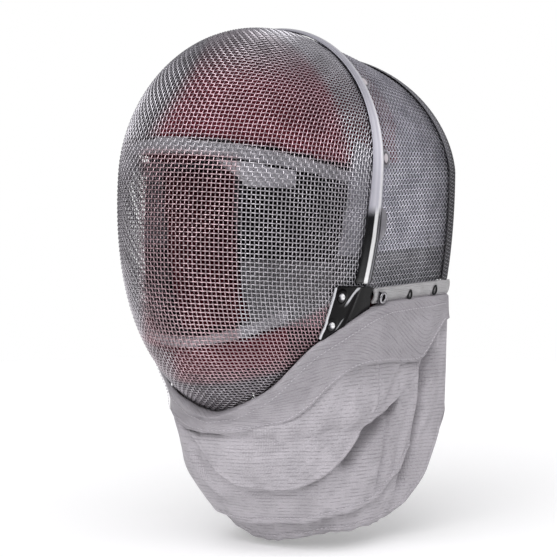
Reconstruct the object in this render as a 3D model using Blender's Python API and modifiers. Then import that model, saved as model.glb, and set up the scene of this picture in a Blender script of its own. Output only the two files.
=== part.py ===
"""Sabre fencing mask: wire-mesh face and sides on a steel rim, jaw brackets, padded lining and cloth bib.

Metres, +Z up, the face looks towards -Y and the wearer's left is +X. The form is worked out in its own
frame, whose zero lies midway between the temples in the plane of the steel rim. An empty carries every
piece so that the world's origin is HEAD_SEAT, where the wearer's crown meets the forehead pad.

The two mesh walls stand for woven wire: each is a solid wall as thick as the wires crossing in it.
"""

import math
from collections import namedtuple

import bmesh
import bpy
from mathutils import Vector

ASSEMBLY = "fencing_mask"
HEAD_SEAT = Vector((0.0, 0.035, 0.0866))
LEFT, RIGHT = 1, -1
SIDE_NAMES = {LEFT: "left", RIGHT: "right"}
FIT_GAP = 0.0004

# The wire form: a face dome in front of the rim and a side shell behind it.
HALF_WIDTH = 0.0963
CROWN_HEIGHT = 0.1132
CHIN_REACH = 0.1974
FACE_DEPTH = 0.1276
JAW_SPREAD = 0.146
CHIN_PUSH = 0.257
FACE_ROUNDNESS = 0.892
CHIN_KEEL = 0.854
RIM_SLOPE = 0.106
RIM_JAW_CURVE = 0.0061
SHELL_LENGTH = 0.100
SHELL_REAR_RISE = 0.17
SHELL_FLARE = 0.038
CROWN_DROP = 0.25
DROP_START, DROP_END = -0.080, 0.080
MESH_WALL = 0.0018
MESH_LOW_EDGE = -0.086
CHIN_EDGE = -0.1738
SEAM_GAP = 0.0004

# Rear edge of the face dome below the rim, by height.
JawEdge = namedtuple("JawEdge", "z y")
JAW_EDGE = (
    JawEdge(-0.0830, -0.0086),
    JawEdge(-0.1000, -0.0240),
    JawEdge(-0.1150, -0.0410),
    JawEdge(-0.1310, -0.0500),
    JawEdge(-0.1540, -0.0570),
    JawEdge(-0.1740, -0.0600),
)

# Steel rim band: how far it reaches before and behind the rim plane, round the opening.
RimWidth = namedtuple("RimWidth", "turn front back")
RIM_WIDTHS = (
    RimWidth(-23.0, -0.0140, 0.0060),
    RimWidth(-12.0, -0.0110, 0.0075),
    RimWidth(0.0, -0.0090, 0.0060),
    RimWidth(40.0, -0.0050, 0.0045),
    RimWidth(90.0, -0.0045, 0.0045),
)
BandLift = namedtuple("BandLift", "across lift")
BAND_SECTION = (
    BandLift(0.00, 0.0015),
    BandLift(0.30, 0.0018),
    BandLift(0.50, 0.0028),
    BandLift(0.66, 0.0034),
    BandLift(0.82, 0.0026),
    BandLift(1.00, 0.0015),
)
BAND_WALL = 0.0011

# Rolled edging round the rear of the side mesh: a channel over the wire ends.
EdgingLift = namedtuple("EdgingLift", "reach lift")
EDGING_SECTION = (
    EdgingLift(-0.0065, 0.0017),
    EdgingLift(-0.0010, 0.0019),
    EdgingLift(0.0012, 0.0008),
    EdgingLift(0.0018, -0.0009),
    EdgingLift(0.0012, -0.0026),
    EdgingLift(-0.0010, -0.0037),
    EdgingLift(-0.0065, -0.0035),
)
EDGING_WALL = 0.0012
EDGING_LOW_TURN = -24.7

# Jaw bracket: lower edge of the plate from front to back; the upper edge is nearly level.
PlateEdge = namedtuple("PlateEdge", "y low high")
BRACKET_EDGES = (
    PlateEdge(-0.0460, -0.1150, -0.0785),
    PlateEdge(-0.0420, -0.1162, -0.0782),
    PlateEdge(-0.0340, -0.1118, -0.0784),
    PlateEdge(-0.0260, -0.1070, -0.0788),
    PlateEdge(-0.0180, -0.1028, -0.0793),
    PlateEdge(-0.0090, -0.0998, -0.0800),
    PlateEdge(0.0012, -0.0992, -0.0810),
)
BRACKET_FRONT_LEAN = 0.0045
BRACKET_WALL = 0.0015
RIVET_PLACES = ((-0.0350, -0.0860), (-0.0390, -0.1063))
RIVET_RADIUS = 0.0033
RIVET_FLATNESS = 0.55

# Small fastenings on the side shell.
CLIP_TURNS = (40.0, 6.5, -10.4)
CLIP_LENGTH = 0.0120
CLIP_DEPTH = 0.0075
CLIP_WALL = 0.0009
CLIP_ROUNDING = 0.85
EDGE_RIVET_PLACE = (0.0740, -0.0510)
EDGE_RIVET_RADIUS = 0.0022

# Cloth strip along the lower edge of the side mesh, with its eyelet and loops.
TRIM_TOP = -0.0833
TRIM_LOW = -0.0932
TRIM_FRONT = 0.0030
TRIM_BACK = 0.1030
TRIM_LIFT = 0.0031
TRIM_WALL = 0.0026
EYELET_PLACE = (0.0115, -0.0885)
EYELET_RADIUS = 0.0034
EYELET_WIRE = 0.0010
EYELET_TAB_LENGTH = 0.0100
EYELET_TAB_START = 0.0044
EYELET_TAB_HALF_HEIGHT, EYELET_TAB_TIP_HALF_HEIGHT = 0.0046, 0.0018
LOOP_PLACES = ((0.0490, -0.0892), (0.0820, -0.0880))
LOOP_WIDTH = 0.0060
LOOP_HEIGHT = 0.0070
LOOP_NARROW, LOOP_WIDEST = 0.55, 1.3
TAB_WALL = 0.0010

# Bib form: level outlines of one half, from the centre front round the side to the rear edge.
SIDE_Y = 0.030
REAR_Y = 0.102
BibLevel = namedtuple("BibLevel", "z front_y side_x rear_x")
BIB_LEVELS = (
    BibLevel(-0.0900, -0.1300, 0.0910, 0.0935),
    BibLevel(-0.1150, -0.1060, 0.0885, 0.0935),
    BibLevel(-0.1310, -0.0940, 0.0860, 0.0930),
    BibLevel(-0.1540, -0.0780, 0.0815, 0.0925),
    BibLevel(-0.1740, -0.0705, 0.0790, 0.0920),
    BibLevel(-0.1830, -0.0715, 0.0780, 0.0912),
    BibLevel(-0.1950, -0.0705, 0.0765, 0.0900),
    BibLevel(-0.2070, -0.0675, 0.0752, 0.0885),
    BibLevel(-0.2195, -0.0605, 0.0740, 0.0865),
    BibLevel(-0.2320, -0.0500, 0.0720, 0.0835),
    BibLevel(-0.2440, -0.0370, 0.0685, 0.0795),
    BibLevel(-0.2560, -0.0220, 0.0625, 0.0745),
    BibLevel(-0.2680, -0.0060, 0.0545, 0.0685),
    BibLevel(-0.2750, 0.0030, 0.0470, 0.0640),
    BibLevel(-0.2810, 0.0115, 0.0370, 0.0580),
)

# Heights of the bib's edges along the half outline: 0 centre front, 0.5 beside the ear, 1 rear edge.
BibEdge = namedtuple("BibEdge", "around collar_top base_top collar_low cover_low hem")
BIB_EDGES = (
    BibEdge(0.000, -0.1755, -0.1800, -0.1860, -0.2570, -0.2770),
    BibEdge(0.050, -0.1715, -0.1775, -0.1855, -0.2570, -0.2760),
    BibEdge(0.100, -0.1657, -0.1735, -0.1842, -0.2565, -0.2748),
    BibEdge(0.185, -0.1530, -0.1625, -0.1805, -0.2562, -0.2735),
    BibEdge(0.265, -0.1305, -0.1400, -0.1680, -0.2550, -0.2712),
    BibEdge(0.320, -0.1165, -0.1220, -0.1515, -0.2520, -0.2690),
    BibEdge(0.350, -0.1145, -0.1160, -0.1445, -0.2505, -0.2680),
    BibEdge(0.395, -0.1045, -0.1085, -0.1370, -0.2485, -0.2670),
    BibEdge(0.440, -0.1005, -0.1015, -0.1362, -0.2470, -0.2665),
    BibEdge(0.455, -0.0950, -0.0960, -0.1366, -0.2464, -0.2664),
    BibEdge(0.590, -0.0948, -0.0958, -0.1391, -0.2385, -0.2658),
    BibEdge(0.710, -0.0948, -0.0958, -0.1405, -0.2215, -0.2650),
    BibEdge(0.770, -0.0948, -0.0958, -0.1405, -0.2020, -0.2640),
    BibEdge(0.880, -0.0948, -0.0958, -0.1236, -0.2020, -0.2510),
    BibEdge(0.950, -0.0948, -0.0958, -0.1150, -0.2020, -0.2235),
    BibEdge(1.000, -0.0948, -0.0958, -0.1110, -0.2020, -0.1930),
)
COVER_REAR = 0.750
CLOTH_WALL = 0.0013
LAYER_LIFT = 0.0026
COLLAR_FLARE = 0.0012
COLLAR_FLARE_REACH = 0.35
COLLAR_FLARE_STEEPNESS = 3.0

# Lining behind the mesh.
LINING_INSET = 0.0030
CHIN_INSET = 0.0038
FOREHEAD_PAD_WALL = 0.0090
FOREHEAD_PAD_REAR = 0.050
FOREHEAD_SIDE_TURN = 3.0
BROW_BAND_WALL = 0.0055
CHEEK_PAD_WALL = 0.0080
CHEEK_PAD_INSET = 0.0030
CHEEK_PAD_FRONT, CHEEK_PAD_BACK = -0.0130, 0.0780
CHEEK_PAD_TOP, CHEEK_PAD_LOW = 0.0015, -0.1260
CHIN_BAND_WALL = 0.0040
CHIN_PAD_WALL = 0.0080
# A lining edge is a sloping plane: its height on the line x = 0, y = 0 and its fall towards the face.
SlopingEdge = namedtuple("SlopingEdge", "height slope")
FOREHEAD_EDGE = SlopingEdge(-0.0030, -0.272)
BROW_LOW_EDGE = SlopingEdge(-0.0125, -0.250)
CHIN_BAND_TOP = SlopingEdge(-0.0560, 0.484)
CHIN_BAND_LOW = SlopingEdge(-0.0725, 0.435)
CHIN_PAD_LOW = SlopingEdge(-0.1135, 0.318)
EDGE_GAP = 0.0016
BROW_SPAN = 80.0
CHIN_SPAN = 55.0
BrowTab = namedtuple("BrowTab", "top_inner low_inner outer low_z")
BROW_TAB = BrowTab(21.5, 37.0, 56.5, -0.0070)

# Elastic strap behind the nape and the sprung tongue behind the head, which hangs behind the strap.
STRAP_HALF_WIDTH = 0.0885
STRAP_CENTRE_Y = 0.070
STRAP_DEPTH = 0.034
STRAP_TOP, STRAP_LOW = -0.0740, -0.1270
STRAP_WALL = 0.0020
STRAP_START = 17.5
TonguePoint = namedtuple("TonguePoint", "y z half_width curl")
TONGUE_LINE = (
    TonguePoint(0.0540, 0.0912, 0.030, 6.1),
    TonguePoint(0.0660, 0.0846, 0.032, 6.1),
    TonguePoint(0.0770, 0.0770, 0.035, 6.1),
    TonguePoint(0.0905, 0.0640, 0.044, 5.9),
    TonguePoint(0.1075, 0.0400, 0.068, 4.6),
    TonguePoint(0.1128, 0.0080, 0.082, 4.5),
    TonguePoint(0.1132, -0.0250, 0.085, 4.5),
    TonguePoint(0.1132, -0.0550, 0.085, 4.4),
    TonguePoint(0.1135, -0.0720, 0.082, 2.6),
    TonguePoint(0.1142, -0.0950, 0.078, 1.4),
    TonguePoint(0.1148, -0.1250, 0.075, 0.4),
    TonguePoint(0.1145, -0.1500, 0.070, 0.0),
    TonguePoint(0.1135, -0.1670, 0.062, 0.0),
    TonguePoint(0.1125, -0.1760, 0.048, 0.0),
)
TONGUE_WALL = 0.0055


def read_table(rows, key, column, value):
    """Smooth reading of a table's named column where its key column has the given value."""
    keys = [getattr(row, key) for row in rows]
    data = [getattr(row, column) for row in rows]
    if keys[0] > keys[-1]:
        keys.reverse()
        data.reverse()
    last = len(keys) - 1
    value = min(max(value, keys[0]), keys[-1])
    i = min(max(sum(1 for key_value in keys if key_value <= value) - 1, 0), last - 1)

    def slope(k):
        low, high = max(k - 1, 0), min(k + 1, last)
        return (data[high] - data[low]) / (keys[high] - keys[low])

    step = keys[i + 1] - keys[i]
    t = (value - keys[i]) / step
    start = (1 + 2 * t) * (1 - t) ** 2 * data[i] + t * (1 - t) ** 2 * step * slope(i)
    end = t * t * (3 - 2 * t) * data[i + 1] - t * t * (1 - t) * step * slope(i + 1)
    return start + end


def read_straight(rows, key, column, value):
    """Straight-line reading of a table's named column, for edges with corners."""
    pairs = sorted((getattr(row, key), getattr(row, column)) for row in rows)
    if value <= pairs[0][0]:
        return pairs[0][1]
    for (low, start), (high, end) in zip(pairs, pairs[1:]):
        if value <= high:
            return start + (end - start) * (value - low) / (high - low)
    return pairs[-1][1]


def blend(start, end, share):
    return start + (end - start) * share


def solve(crosses, low, high):
    """Bisection: the last value going from low to high at which crosses() is still false."""
    for _ in range(40):
        middle = (low + high) / 2
        if crosses(middle):
            high = middle
        else:
            low = middle
    return (low + high) / 2


def pole_height(rise):
    return CROWN_HEIGHT if rise > 0 else CHIN_REACH


def crown_share(rise, y):
    """Share of the full crown height left at y: above the temples the form falls towards the nape."""
    if rise <= 0 or y <= DROP_START:
        return 1.0
    return 1 - CROWN_DROP * ((y - DROP_START) / (DROP_END - DROP_START)) ** 2


def rim_y(z, lowness):
    """Where the rim plane lies at height z; it curves forward less below the temples."""
    return RIM_SLOPE * z + RIM_JAW_CURVE * lowness


def dome_point(angle, rise, inset=0.0):
    """Point of the face dome: angle 0 on the centre line and 90 degrees at the rim, rise -1 to 1."""
    lowness = min(rise, 0.0) ** 2
    ring = math.sqrt(max(0.0, 1 - rise * rise))
    z = (pole_height(rise) - inset) * rise
    forward = ring * math.cos(angle)
    keel = FACE_ROUNDNESS + CHIN_KEEL * lowness
    depth = (FACE_DEPTH - inset) * (1 + CHIN_PUSH * lowness)
    x = (HALF_WIDTH - inset) * (1 + JAW_SPREAD * lowness) * ring * math.sin(angle)
    y = rim_y(z, lowness) - depth * max(forward, 0.0) ** keel
    return Vector((x, y, z * crown_share(rise, y)))


def skin_point(turn, reach, lift=0.0):
    """Point round the opening: turn 0 at the left temple, 90 degrees at the crown; reach behind the rim."""
    rise = math.sin(turn)
    lowness = min(rise, 0.0) ** 2
    height = (pole_height(rise) + lift) * rise
    width = (HALF_WIDTH + lift) * (1 + JAW_SPREAD * lowness) * math.cos(turn)
    plane = rim_y(height, lowness)
    if reach < 0:
        keel = FACE_ROUNDNESS + CHIN_KEEL * lowness
        forward = min(1.0, (-reach / ((FACE_DEPTH + lift) * (1 + CHIN_PUSH * lowness))) ** (1 / keel))
        shrink = math.sqrt(1 - forward * forward)
        y = rim_y(height * shrink, lowness) + reach
        return Vector((width * shrink, y, height * shrink * crown_share(rise, y)))
    back = reach / (shell_rear(height) - plane)
    y = plane + reach
    return Vector((width * (1 + SHELL_FLARE * back * back), y, height * crown_share(rise, y)))


def shell_rear(rim_height):
    """Y of the shell's rear edge behind the rim point at the given height."""
    crown_height = rim_height * (1 - CROWN_DROP)
    return SHELL_LENGTH - SHELL_REAR_RISE * max(crown_height, 0.0)


def shell_length(turn):
    """Length of the side shell from the rim plane to its rear edge."""
    rise = math.sin(turn)
    height = pole_height(rise) * rise
    return shell_rear(height) - rim_y(height, min(rise, 0.0) ** 2)


def side_point(y, z):
    """Point of the wire form on the wearer's left at the given y and z, below the temple line."""
    rise = z / CHIN_REACH
    lowness = min(rise, 0.0) ** 2
    ring_square = 1 - rise * rise
    plane = rim_y(z, lowness)
    spread = HALF_WIDTH * (1 + JAW_SPREAD * lowness)
    if y < plane:
        keel = FACE_ROUNDNESS + CHIN_KEEL * lowness
        forward = ((plane - y) / (FACE_DEPTH * (1 + CHIN_PUSH * lowness))) ** (1 / keel)
        return Vector((spread * math.sqrt(max(0.0, ring_square - forward * forward)), y, z))
    back = (y - plane) / (SHELL_LENGTH - plane)
    return Vector((spread * (1 + SHELL_FLARE * back * back) * math.sqrt(ring_square), y, z))


def bib_point(around, z):
    """Point of the bib's base form: around -1 right rear edge, 0 centre front, 1 left rear edge."""
    side = -1 if around < 0 else 1
    around = abs(around)
    front_y = read_table(BIB_LEVELS, "z", "front_y", z)
    side_x = read_table(BIB_LEVELS, "z", "side_x", z)
    rear_x = read_table(BIB_LEVELS, "z", "rear_x", z)
    if around <= 0.5:
        angle = around * math.pi
        return Vector((side * side_x * math.sin(angle), SIDE_Y - (SIDE_Y - front_y) * math.cos(angle), z))
    back = (around - 0.5) / 0.5
    x = side_x + (rear_x - side_x) * back * back
    return Vector((side * x, SIDE_Y + (REAR_Y - SIDE_Y) * back, z))


def lifted(surface, u, v, lift, step_u, step_v):
    """Point moved off a surface along its outward normal, taken from small steps in u and v."""
    along = surface(u + step_u, v) - surface(u - step_u, v)
    across = surface(u, v + step_v) - surface(u, v - step_v)
    return surface(u, v) + along.cross(across).normalized() * lift


def skin_lifted(turn, reach, lift):
    return lifted(skin_point, turn, reach, lift, -0.004, 0.0003)


def bib_lifted(around, z, lift):
    return lifted(bib_point, around, z, lift, 0.002, 0.0002)


def side_lifted(y, z, lift):
    return lifted(side_point, y, z, lift, 0.0003, 0.0003)


def bib_edge(name, around):
    return read_straight(BIB_EDGES, "around", name, abs(around))


def make_collections():
    parts = bpy.data.collections.new(ASSEMBLY)
    bpy.context.scene.collection.children.link(parts)
    frame = bpy.data.objects.new("mask_frame", None)
    frame.location = -HEAD_SEAT
    parts.objects.link(frame)
    return parts, frame


def make_material(name, colour, roughness, metallic):
    material = bpy.data.materials.new(name)
    material.use_nodes = True
    shader = material.node_tree.nodes["Principled BSDF"]
    shader.inputs["Base Color"].default_value = (*colour, 1.0)
    shader.inputs["Roughness"].default_value = roughness
    shader.inputs["Metallic"].default_value = metallic
    return material


def make_materials():
    return {
        "face_wire": make_material("face_wire", (0.62, 0.62, 0.66), 0.38, 1.0),
        "side_wire": make_material("side_wire", (0.50, 0.50, 0.55), 0.42, 1.0),
        "polished_steel": make_material("polished_steel", (0.70, 0.70, 0.72), 0.15, 1.0),
        "dark_steel": make_material("dark_steel", (0.12, 0.12, 0.13), 0.22, 1.0),
        "edging": make_material("edging", (0.14, 0.14, 0.15), 0.65, 0.0),
        "bib_cloth": make_material("bib_cloth", (0.60, 0.57, 0.62), 0.60, 0.2),
        "red_lining": make_material("red_lining", (0.32, 0.03, 0.05), 0.90, 0.0),
        "grey_binding": make_material("grey_binding", (0.50, 0.50, 0.55), 0.85, 0.0),
        "strap": make_material("strap", (0.62, 0.62, 0.66), 0.85, 0.0),
        "dark_cloth": make_material("dark_cloth", (0.02, 0.02, 0.022), 0.90, 0.0),
    }


class Builder:
    """Adds finished pieces to the assembly."""

    def __init__(self):
        self.parts, self.frame = make_collections()
        self.materials = make_materials()

    def add(self, name, mesh, material):
        """Object with the mesh, hung from the mask's frame."""
        mesh.materials.append(self.materials[material])
        piece = bpy.data.objects.new(name, mesh)
        piece.parent = self.frame
        self.parts.objects.link(piece)
        return piece

    def sheet(self, name, place, columns, rows, wall, material, side=LEFT):
        """Open grid bent by place(u, v) and given a wall inward from its outer face."""
        mesh_data = bmesh.new()
        bmesh.ops.create_grid(mesh_data, x_segments=columns, y_segments=rows, size=0.5)
        for vertex in mesh_data.verts:
            u = vertex.co.x + 0.5
            point = place(u if side == LEFT else 1 - u, vertex.co.y + 0.5)
            vertex.co = (side * point.x, point.y, point.z)
        bmesh.ops.remove_doubles(mesh_data, verts=mesh_data.verts, dist=0.00005)
        mesh = bpy.data.meshes.new(name)
        mesh_data.to_mesh(mesh)
        mesh_data.free()
        mesh.shade_smooth()
        piece = self.add(name, mesh, material)
        solid = piece.modifiers.new("wall", "SOLIDIFY")
        solid.thickness = wall
        solid.offset = -1
        solid.use_even_offset = True
        return piece

    def button(self, name, radius, material):
        """Low domed head with a flat underside at its own origin, dome along +Z."""
        mesh_data = bmesh.new()
        bmesh.ops.create_uvsphere(mesh_data, u_segments=10, v_segments=6, radius=radius)
        geometry = mesh_data.verts[:] + mesh_data.edges[:] + mesh_data.faces[:]
        cut = bmesh.ops.bisect_plane(mesh_data, geom=geometry, dist=0.00001, plane_co=(0, 0, 0),
                                     plane_no=(0, 0, -1), clear_outer=True)
        rim = [item for item in cut["geom_cut"] if isinstance(item, bmesh.types.BMEdge)]
        bmesh.ops.contextual_create(mesh_data, geom=rim)
        bmesh.ops.scale(mesh_data, vec=(1, 1, RIVET_FLATNESS), verts=mesh_data.verts)
        bmesh.ops.recalc_face_normals(mesh_data, faces=mesh_data.faces)
        mesh = bpy.data.meshes.new(name)
        mesh_data.to_mesh(mesh)
        mesh_data.free()
        mesh.shade_smooth()
        mesh.set_sharp_from_angle(angle=math.radians(50))
        return self.add(name, mesh, material)

    def seat(self, piece, side, y, z, lift):
        """Stand a piece on the side of the form, its +Z along the outward normal."""
        place = side_lifted(y, z, lift)
        outward = side_lifted(y, z, lift + 0.001) - place
        piece.location = (side * place.x, place.y, place.z)
        direction = Vector((side * outward.x, outward.y, outward.z))
        piece.rotation_euler = direction.to_track_quat("Z", "Y").to_euler()


def jaw_limit(rise):
    """Angle of the dome's rear edge at the given rise: the rim above the jaw, JAW_EDGE below it."""
    z = CHIN_REACH * rise
    almost_rim = math.radians(89.8)
    if z > JAW_EDGE[0].z:
        return almost_rim
    edge_y = read_straight(JAW_EDGE, "z", "y", z)
    return solve(lambda angle: dome_point(angle, rise).y > edge_y, 0.0, almost_rim)


def build_face_mesh(builder):
    chin_latitude = math.asin(CHIN_EDGE / CHIN_REACH)
    crown_latitude = math.radians(90.0)

    def place(u, v):
        rise = math.sin(blend(chin_latitude, crown_latitude, v))
        return dome_point(blend(-1, 1, u) * jaw_limit(rise), rise)

    builder.sheet("face_mesh", place, 24, 16, MESH_WALL, "face_wire")


def build_side_mesh(builder):
    low_turn = math.asin(MESH_LOW_EDGE / CHIN_REACH)

    def place(u, v):
        turn = blend(math.pi - low_turn, low_turn, u)
        return skin_point(turn, blend(SEAM_GAP, shell_length(turn) - FIT_GAP, v))

    builder.sheet("side_mesh", place, 34, 5, MESH_WALL, "side_wire")


def rim_reach(turn, across):
    """Reach of the rim band's front (0) to rear (1) edge at a turn round the opening."""
    degrees = 90 - abs(90 - math.degrees(turn))
    front = read_table(RIM_WIDTHS, "turn", "front", degrees)
    back = read_table(RIM_WIDTHS, "turn", "back", degrees)
    return blend(front, back, across)


def build_rim_band(builder):
    low_turn = math.radians(RIM_WIDTHS[0].turn)

    def place(u, v):
        turn = blend(math.pi - low_turn, low_turn, u)
        lift = read_table(BAND_SECTION, "across", "lift", v)
        return skin_lifted(turn, rim_reach(turn, v), lift)

    builder.sheet("rim_band", place, 36, 5, BAND_WALL, "polished_steel")


def build_rear_edging(builder):
    low_turn = math.radians(EDGING_LOW_TURN)
    last = len(EDGING_SECTION) - 1

    def place(u, v):
        turn = blend(math.pi - low_turn, low_turn, u)
        row = EDGING_SECTION[round(v * last)]
        return skin_lifted(turn, shell_length(turn) + row.reach, row.lift)

    builder.sheet("rear_edging", place, 34, last, EDGING_WALL, "edging")


def build_brackets(builder):
    outer = FIT_GAP + BRACKET_WALL
    front = BRACKET_EDGES[0].y
    back = BRACKET_EDGES[-1].y

    def place(u, v):
        y = blend(front, back, u)
        low = read_table(BRACKET_EDGES, "y", "low", y)
        high = read_table(BRACKET_EDGES, "y", "high", y)
        lean = BRACKET_FRONT_LEAN * v * (1 - u)
        return side_lifted(y + lean, blend(low, high, v), outer)

    for side, side_name in SIDE_NAMES.items():
        builder.sheet(f"jaw_bracket_{side_name}", place, 9, 5, BRACKET_WALL, "dark_steel", side)
        for number, (y, z) in enumerate(RIVET_PLACES, start=1):
            head = builder.button(f"bracket_rivet_{side_name}_{number}", RIVET_RADIUS, "dark_steel")
            builder.seat(head, side, y, z, outer + FIT_GAP)


def build_rim_clips(builder):
    for side, side_name in SIDE_NAMES.items():
        for number, degrees in enumerate(CLIP_TURNS, start=1):
            middle = math.radians(degrees)
            half_turn = CLIP_LENGTH / HALF_WIDTH / 2

            def place(u, v, middle=middle, half_turn=half_turn):
                taper = math.sqrt(1 - (CLIP_ROUNDING * v) ** 2)
                turn = middle + half_turn * taper * blend(1, -1, u)
                start = rim_reach(turn, 1.0) + FIT_GAP
                return skin_lifted(turn, start + CLIP_DEPTH * v, FIT_GAP + CLIP_WALL)

            builder.sheet(f"rim_clip_{side_name}_{number}", place, 3, 3, CLIP_WALL, "polished_steel", side)
        rivet = builder.button(f"edge_rivet_{side_name}", EDGE_RIVET_RADIUS, "dark_steel")
        builder.seat(rivet, side, *EDGE_RIVET_PLACE, FIT_GAP)


def build_side_trims(builder):
    def place(u, v):
        return side_lifted(blend(TRIM_FRONT, TRIM_BACK, u), blend(TRIM_LOW, TRIM_TOP, v), TRIM_LIFT)

    for side, side_name in SIDE_NAMES.items():
        builder.sheet(f"side_trim_{side_name}", place, 10, 2, TRIM_WALL, "bib_cloth", side)
        build_eyelet(builder, side, side_name)
        for number, (y, z) in enumerate(LOOP_PLACES, start=1):
            build_loop(builder, side, f"trim_loop_{side_name}_{number}", y, z)


def build_eyelet(builder, side, side_name):
    tab_lift = TRIM_LIFT + FIT_GAP + TAB_WALL
    eyelet_y, eyelet_z = EYELET_PLACE

    def tab_place(u, v):
        half_height = blend(EYELET_TAB_HALF_HEIGHT, EYELET_TAB_TIP_HALF_HEIGHT, u)
        y = eyelet_y - EYELET_TAB_START + EYELET_TAB_LENGTH * u
        return side_lifted(y, eyelet_z + half_height * blend(-1, 1, v), tab_lift)

    builder.sheet(f"eyelet_tab_{side_name}", tab_place, 4, 3, TAB_WALL, "dark_steel", side)
    bpy.ops.mesh.primitive_torus_add(major_segments=14, minor_segments=5,
                                     major_radius=EYELET_RADIUS, minor_radius=EYELET_WIRE)
    ring = bpy.context.active_object
    ring.name = f"trim_eyelet_{side_name}"
    for collection in ring.users_collection:
        collection.objects.unlink(ring)
    builder.parts.objects.link(ring)
    ring.parent = builder.frame
    ring.data.materials.append(builder.materials["polished_steel"])
    ring.data.shade_smooth()
    builder.seat(ring, side, eyelet_y, eyelet_z, tab_lift + FIT_GAP + EYELET_WIRE)


def build_loop(builder, side, name, loop_y, loop_z):
    def place(u, v):
        fullness = math.sin(math.pi * min(v * LOOP_WIDEST, 1.0))
        half_width = LOOP_WIDTH / 2 * blend(LOOP_NARROW, 1.0, fullness)
        y = loop_y + half_width * blend(-1, 1, u)
        return side_lifted(y, loop_z + LOOP_HEIGHT * (v - 0.5), TRIM_LIFT + FIT_GAP + TAB_WALL)

    builder.sheet(name, place, 3, 4, TAB_WALL, "dark_cloth", side)


def build_bib(builder):
    def base_place(u, v):
        around = blend(-1, 1, u)
        return bib_lifted(around, blend(bib_edge("hem", around), bib_edge("base_top", around), v), 0.0)

    def collar_place(u, v):
        around = blend(-1, 1, u)
        z = blend(bib_edge("collar_low", around), bib_edge("collar_top", around), v)
        jaw_share = max(0.0, 1 - abs(around) / COLLAR_FLARE_REACH)
        flare = COLLAR_FLARE * min(1.0, COLLAR_FLARE_STEEPNESS * jaw_share) * v * v
        return bib_lifted(around, z, LAYER_LIFT + flare)

    def cover_place(u, v):
        around = COVER_REAR * blend(-1, 1, u)
        high = bib_edge("collar_low", around) - 2 * FIT_GAP
        return bib_lifted(around, blend(bib_edge("cover_low", around), high, v), LAYER_LIFT)

    builder.sheet("bib_base", base_place, 40, 8, CLOTH_WALL, "bib_cloth")
    builder.sheet("bib_collar", collar_place, 40, 3, CLOTH_WALL, "bib_cloth")
    builder.sheet("bib_cover", cover_place, 30, 6, CLOTH_WALL, "bib_cloth")


def edge_height(edge, y):
    return edge.height + edge.slope * y


def dome_latitude(edge, angle, inset):
    """Latitude where a meridian of the lining dome crosses a sloping edge."""
    def above(latitude):
        point = dome_point(angle, math.sin(latitude), inset)
        return point.z > edge_height(edge, point.y)

    return solve(above, math.radians(-60), math.radians(60))


def dome_band(top, low, span, inset):
    """Place function for a band of the lining between two sloping edges."""
    half_span = math.radians(span)

    def place(u, v):
        angle = half_span * blend(-1, 1, u)
        high_latitude = dome_latitude(top, angle, inset) - EDGE_GAP / FACE_DEPTH
        low_latitude = dome_latitude(low, angle, inset)
        return dome_point(angle, math.sin(blend(low_latitude, high_latitude, v)), inset)

    return place


def build_forehead(builder):
    side_turn = math.radians(FOREHEAD_SIDE_TURN)

    def front_reach(turn):
        def below(reach):
            point = skin_point(turn, -reach, -LINING_INSET)
            return point.z < edge_height(FOREHEAD_EDGE, point.y)

        return -solve(below, 0.0, FACE_DEPTH - LINING_INSET)

    def place(u, v):
        turn = blend(math.pi - side_turn, side_turn, u)
        reach = blend(front_reach(turn), FOREHEAD_PAD_REAR - RIM_SLOPE * CROWN_HEIGHT, v)
        return skin_point(turn, reach, -LINING_INSET)

    builder.sheet("forehead_pad", place, 20, 8, FOREHEAD_PAD_WALL, "red_lining")
    brow = dome_band(FOREHEAD_EDGE, BROW_LOW_EDGE, BROW_SPAN, LINING_INSET)
    builder.sheet("brow_band", brow, 22, 1, BROW_BAND_WALL, "grey_binding")


def build_brow_tabs(builder):
    def place(u, v):
        inner = math.radians(blend(BROW_TAB.low_inner, BROW_TAB.top_inner, v))
        angle = blend(inner, math.radians(BROW_TAB.outer), u)
        high = dome_latitude(BROW_LOW_EDGE, angle, LINING_INSET) - EDGE_GAP / FACE_DEPTH
        low = math.asin(BROW_TAB.low_z / CHIN_REACH)
        return dome_point(angle, math.sin(blend(low, high, v)), LINING_INSET)

    for side, side_name in SIDE_NAMES.items():
        builder.sheet(f"brow_tab_{side_name}", place, 6, 3, BROW_BAND_WALL, "grey_binding", side)


def build_cheek_pads(builder):
    def place(u, v):
        y = blend(CHEEK_PAD_FRONT, CHEEK_PAD_BACK, u)
        return side_lifted(y, blend(CHEEK_PAD_LOW, CHEEK_PAD_TOP, v), -CHEEK_PAD_INSET)

    for side, side_name in SIDE_NAMES.items():
        builder.sheet(f"cheek_pad_{side_name}", place, 6, 7, CHEEK_PAD_WALL, "red_lining", side)


def build_chin_lining(builder):
    band = dome_band(CHIN_BAND_TOP, CHIN_BAND_LOW, CHIN_SPAN, CHIN_INSET)
    pad = dome_band(CHIN_BAND_LOW, CHIN_PAD_LOW, CHIN_SPAN, CHIN_INSET)
    builder.sheet("chin_band", band, 18, 1, CHIN_BAND_WALL, "grey_binding")
    builder.sheet("chin_pad", pad, 18, 2, CHIN_PAD_WALL, "red_lining")


def build_back_strap(builder):
    start = math.radians(STRAP_START)

    def place(u, v):
        angle = blend(start, math.pi - start, u)
        x = STRAP_HALF_WIDTH * math.cos(angle)
        y = STRAP_CENTRE_Y + STRAP_DEPTH * math.sin(angle)
        return Vector((x, y, blend(STRAP_LOW, STRAP_TOP, v)))

    builder.sheet("back_strap", place, 24, 2, STRAP_WALL, "strap")


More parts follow.
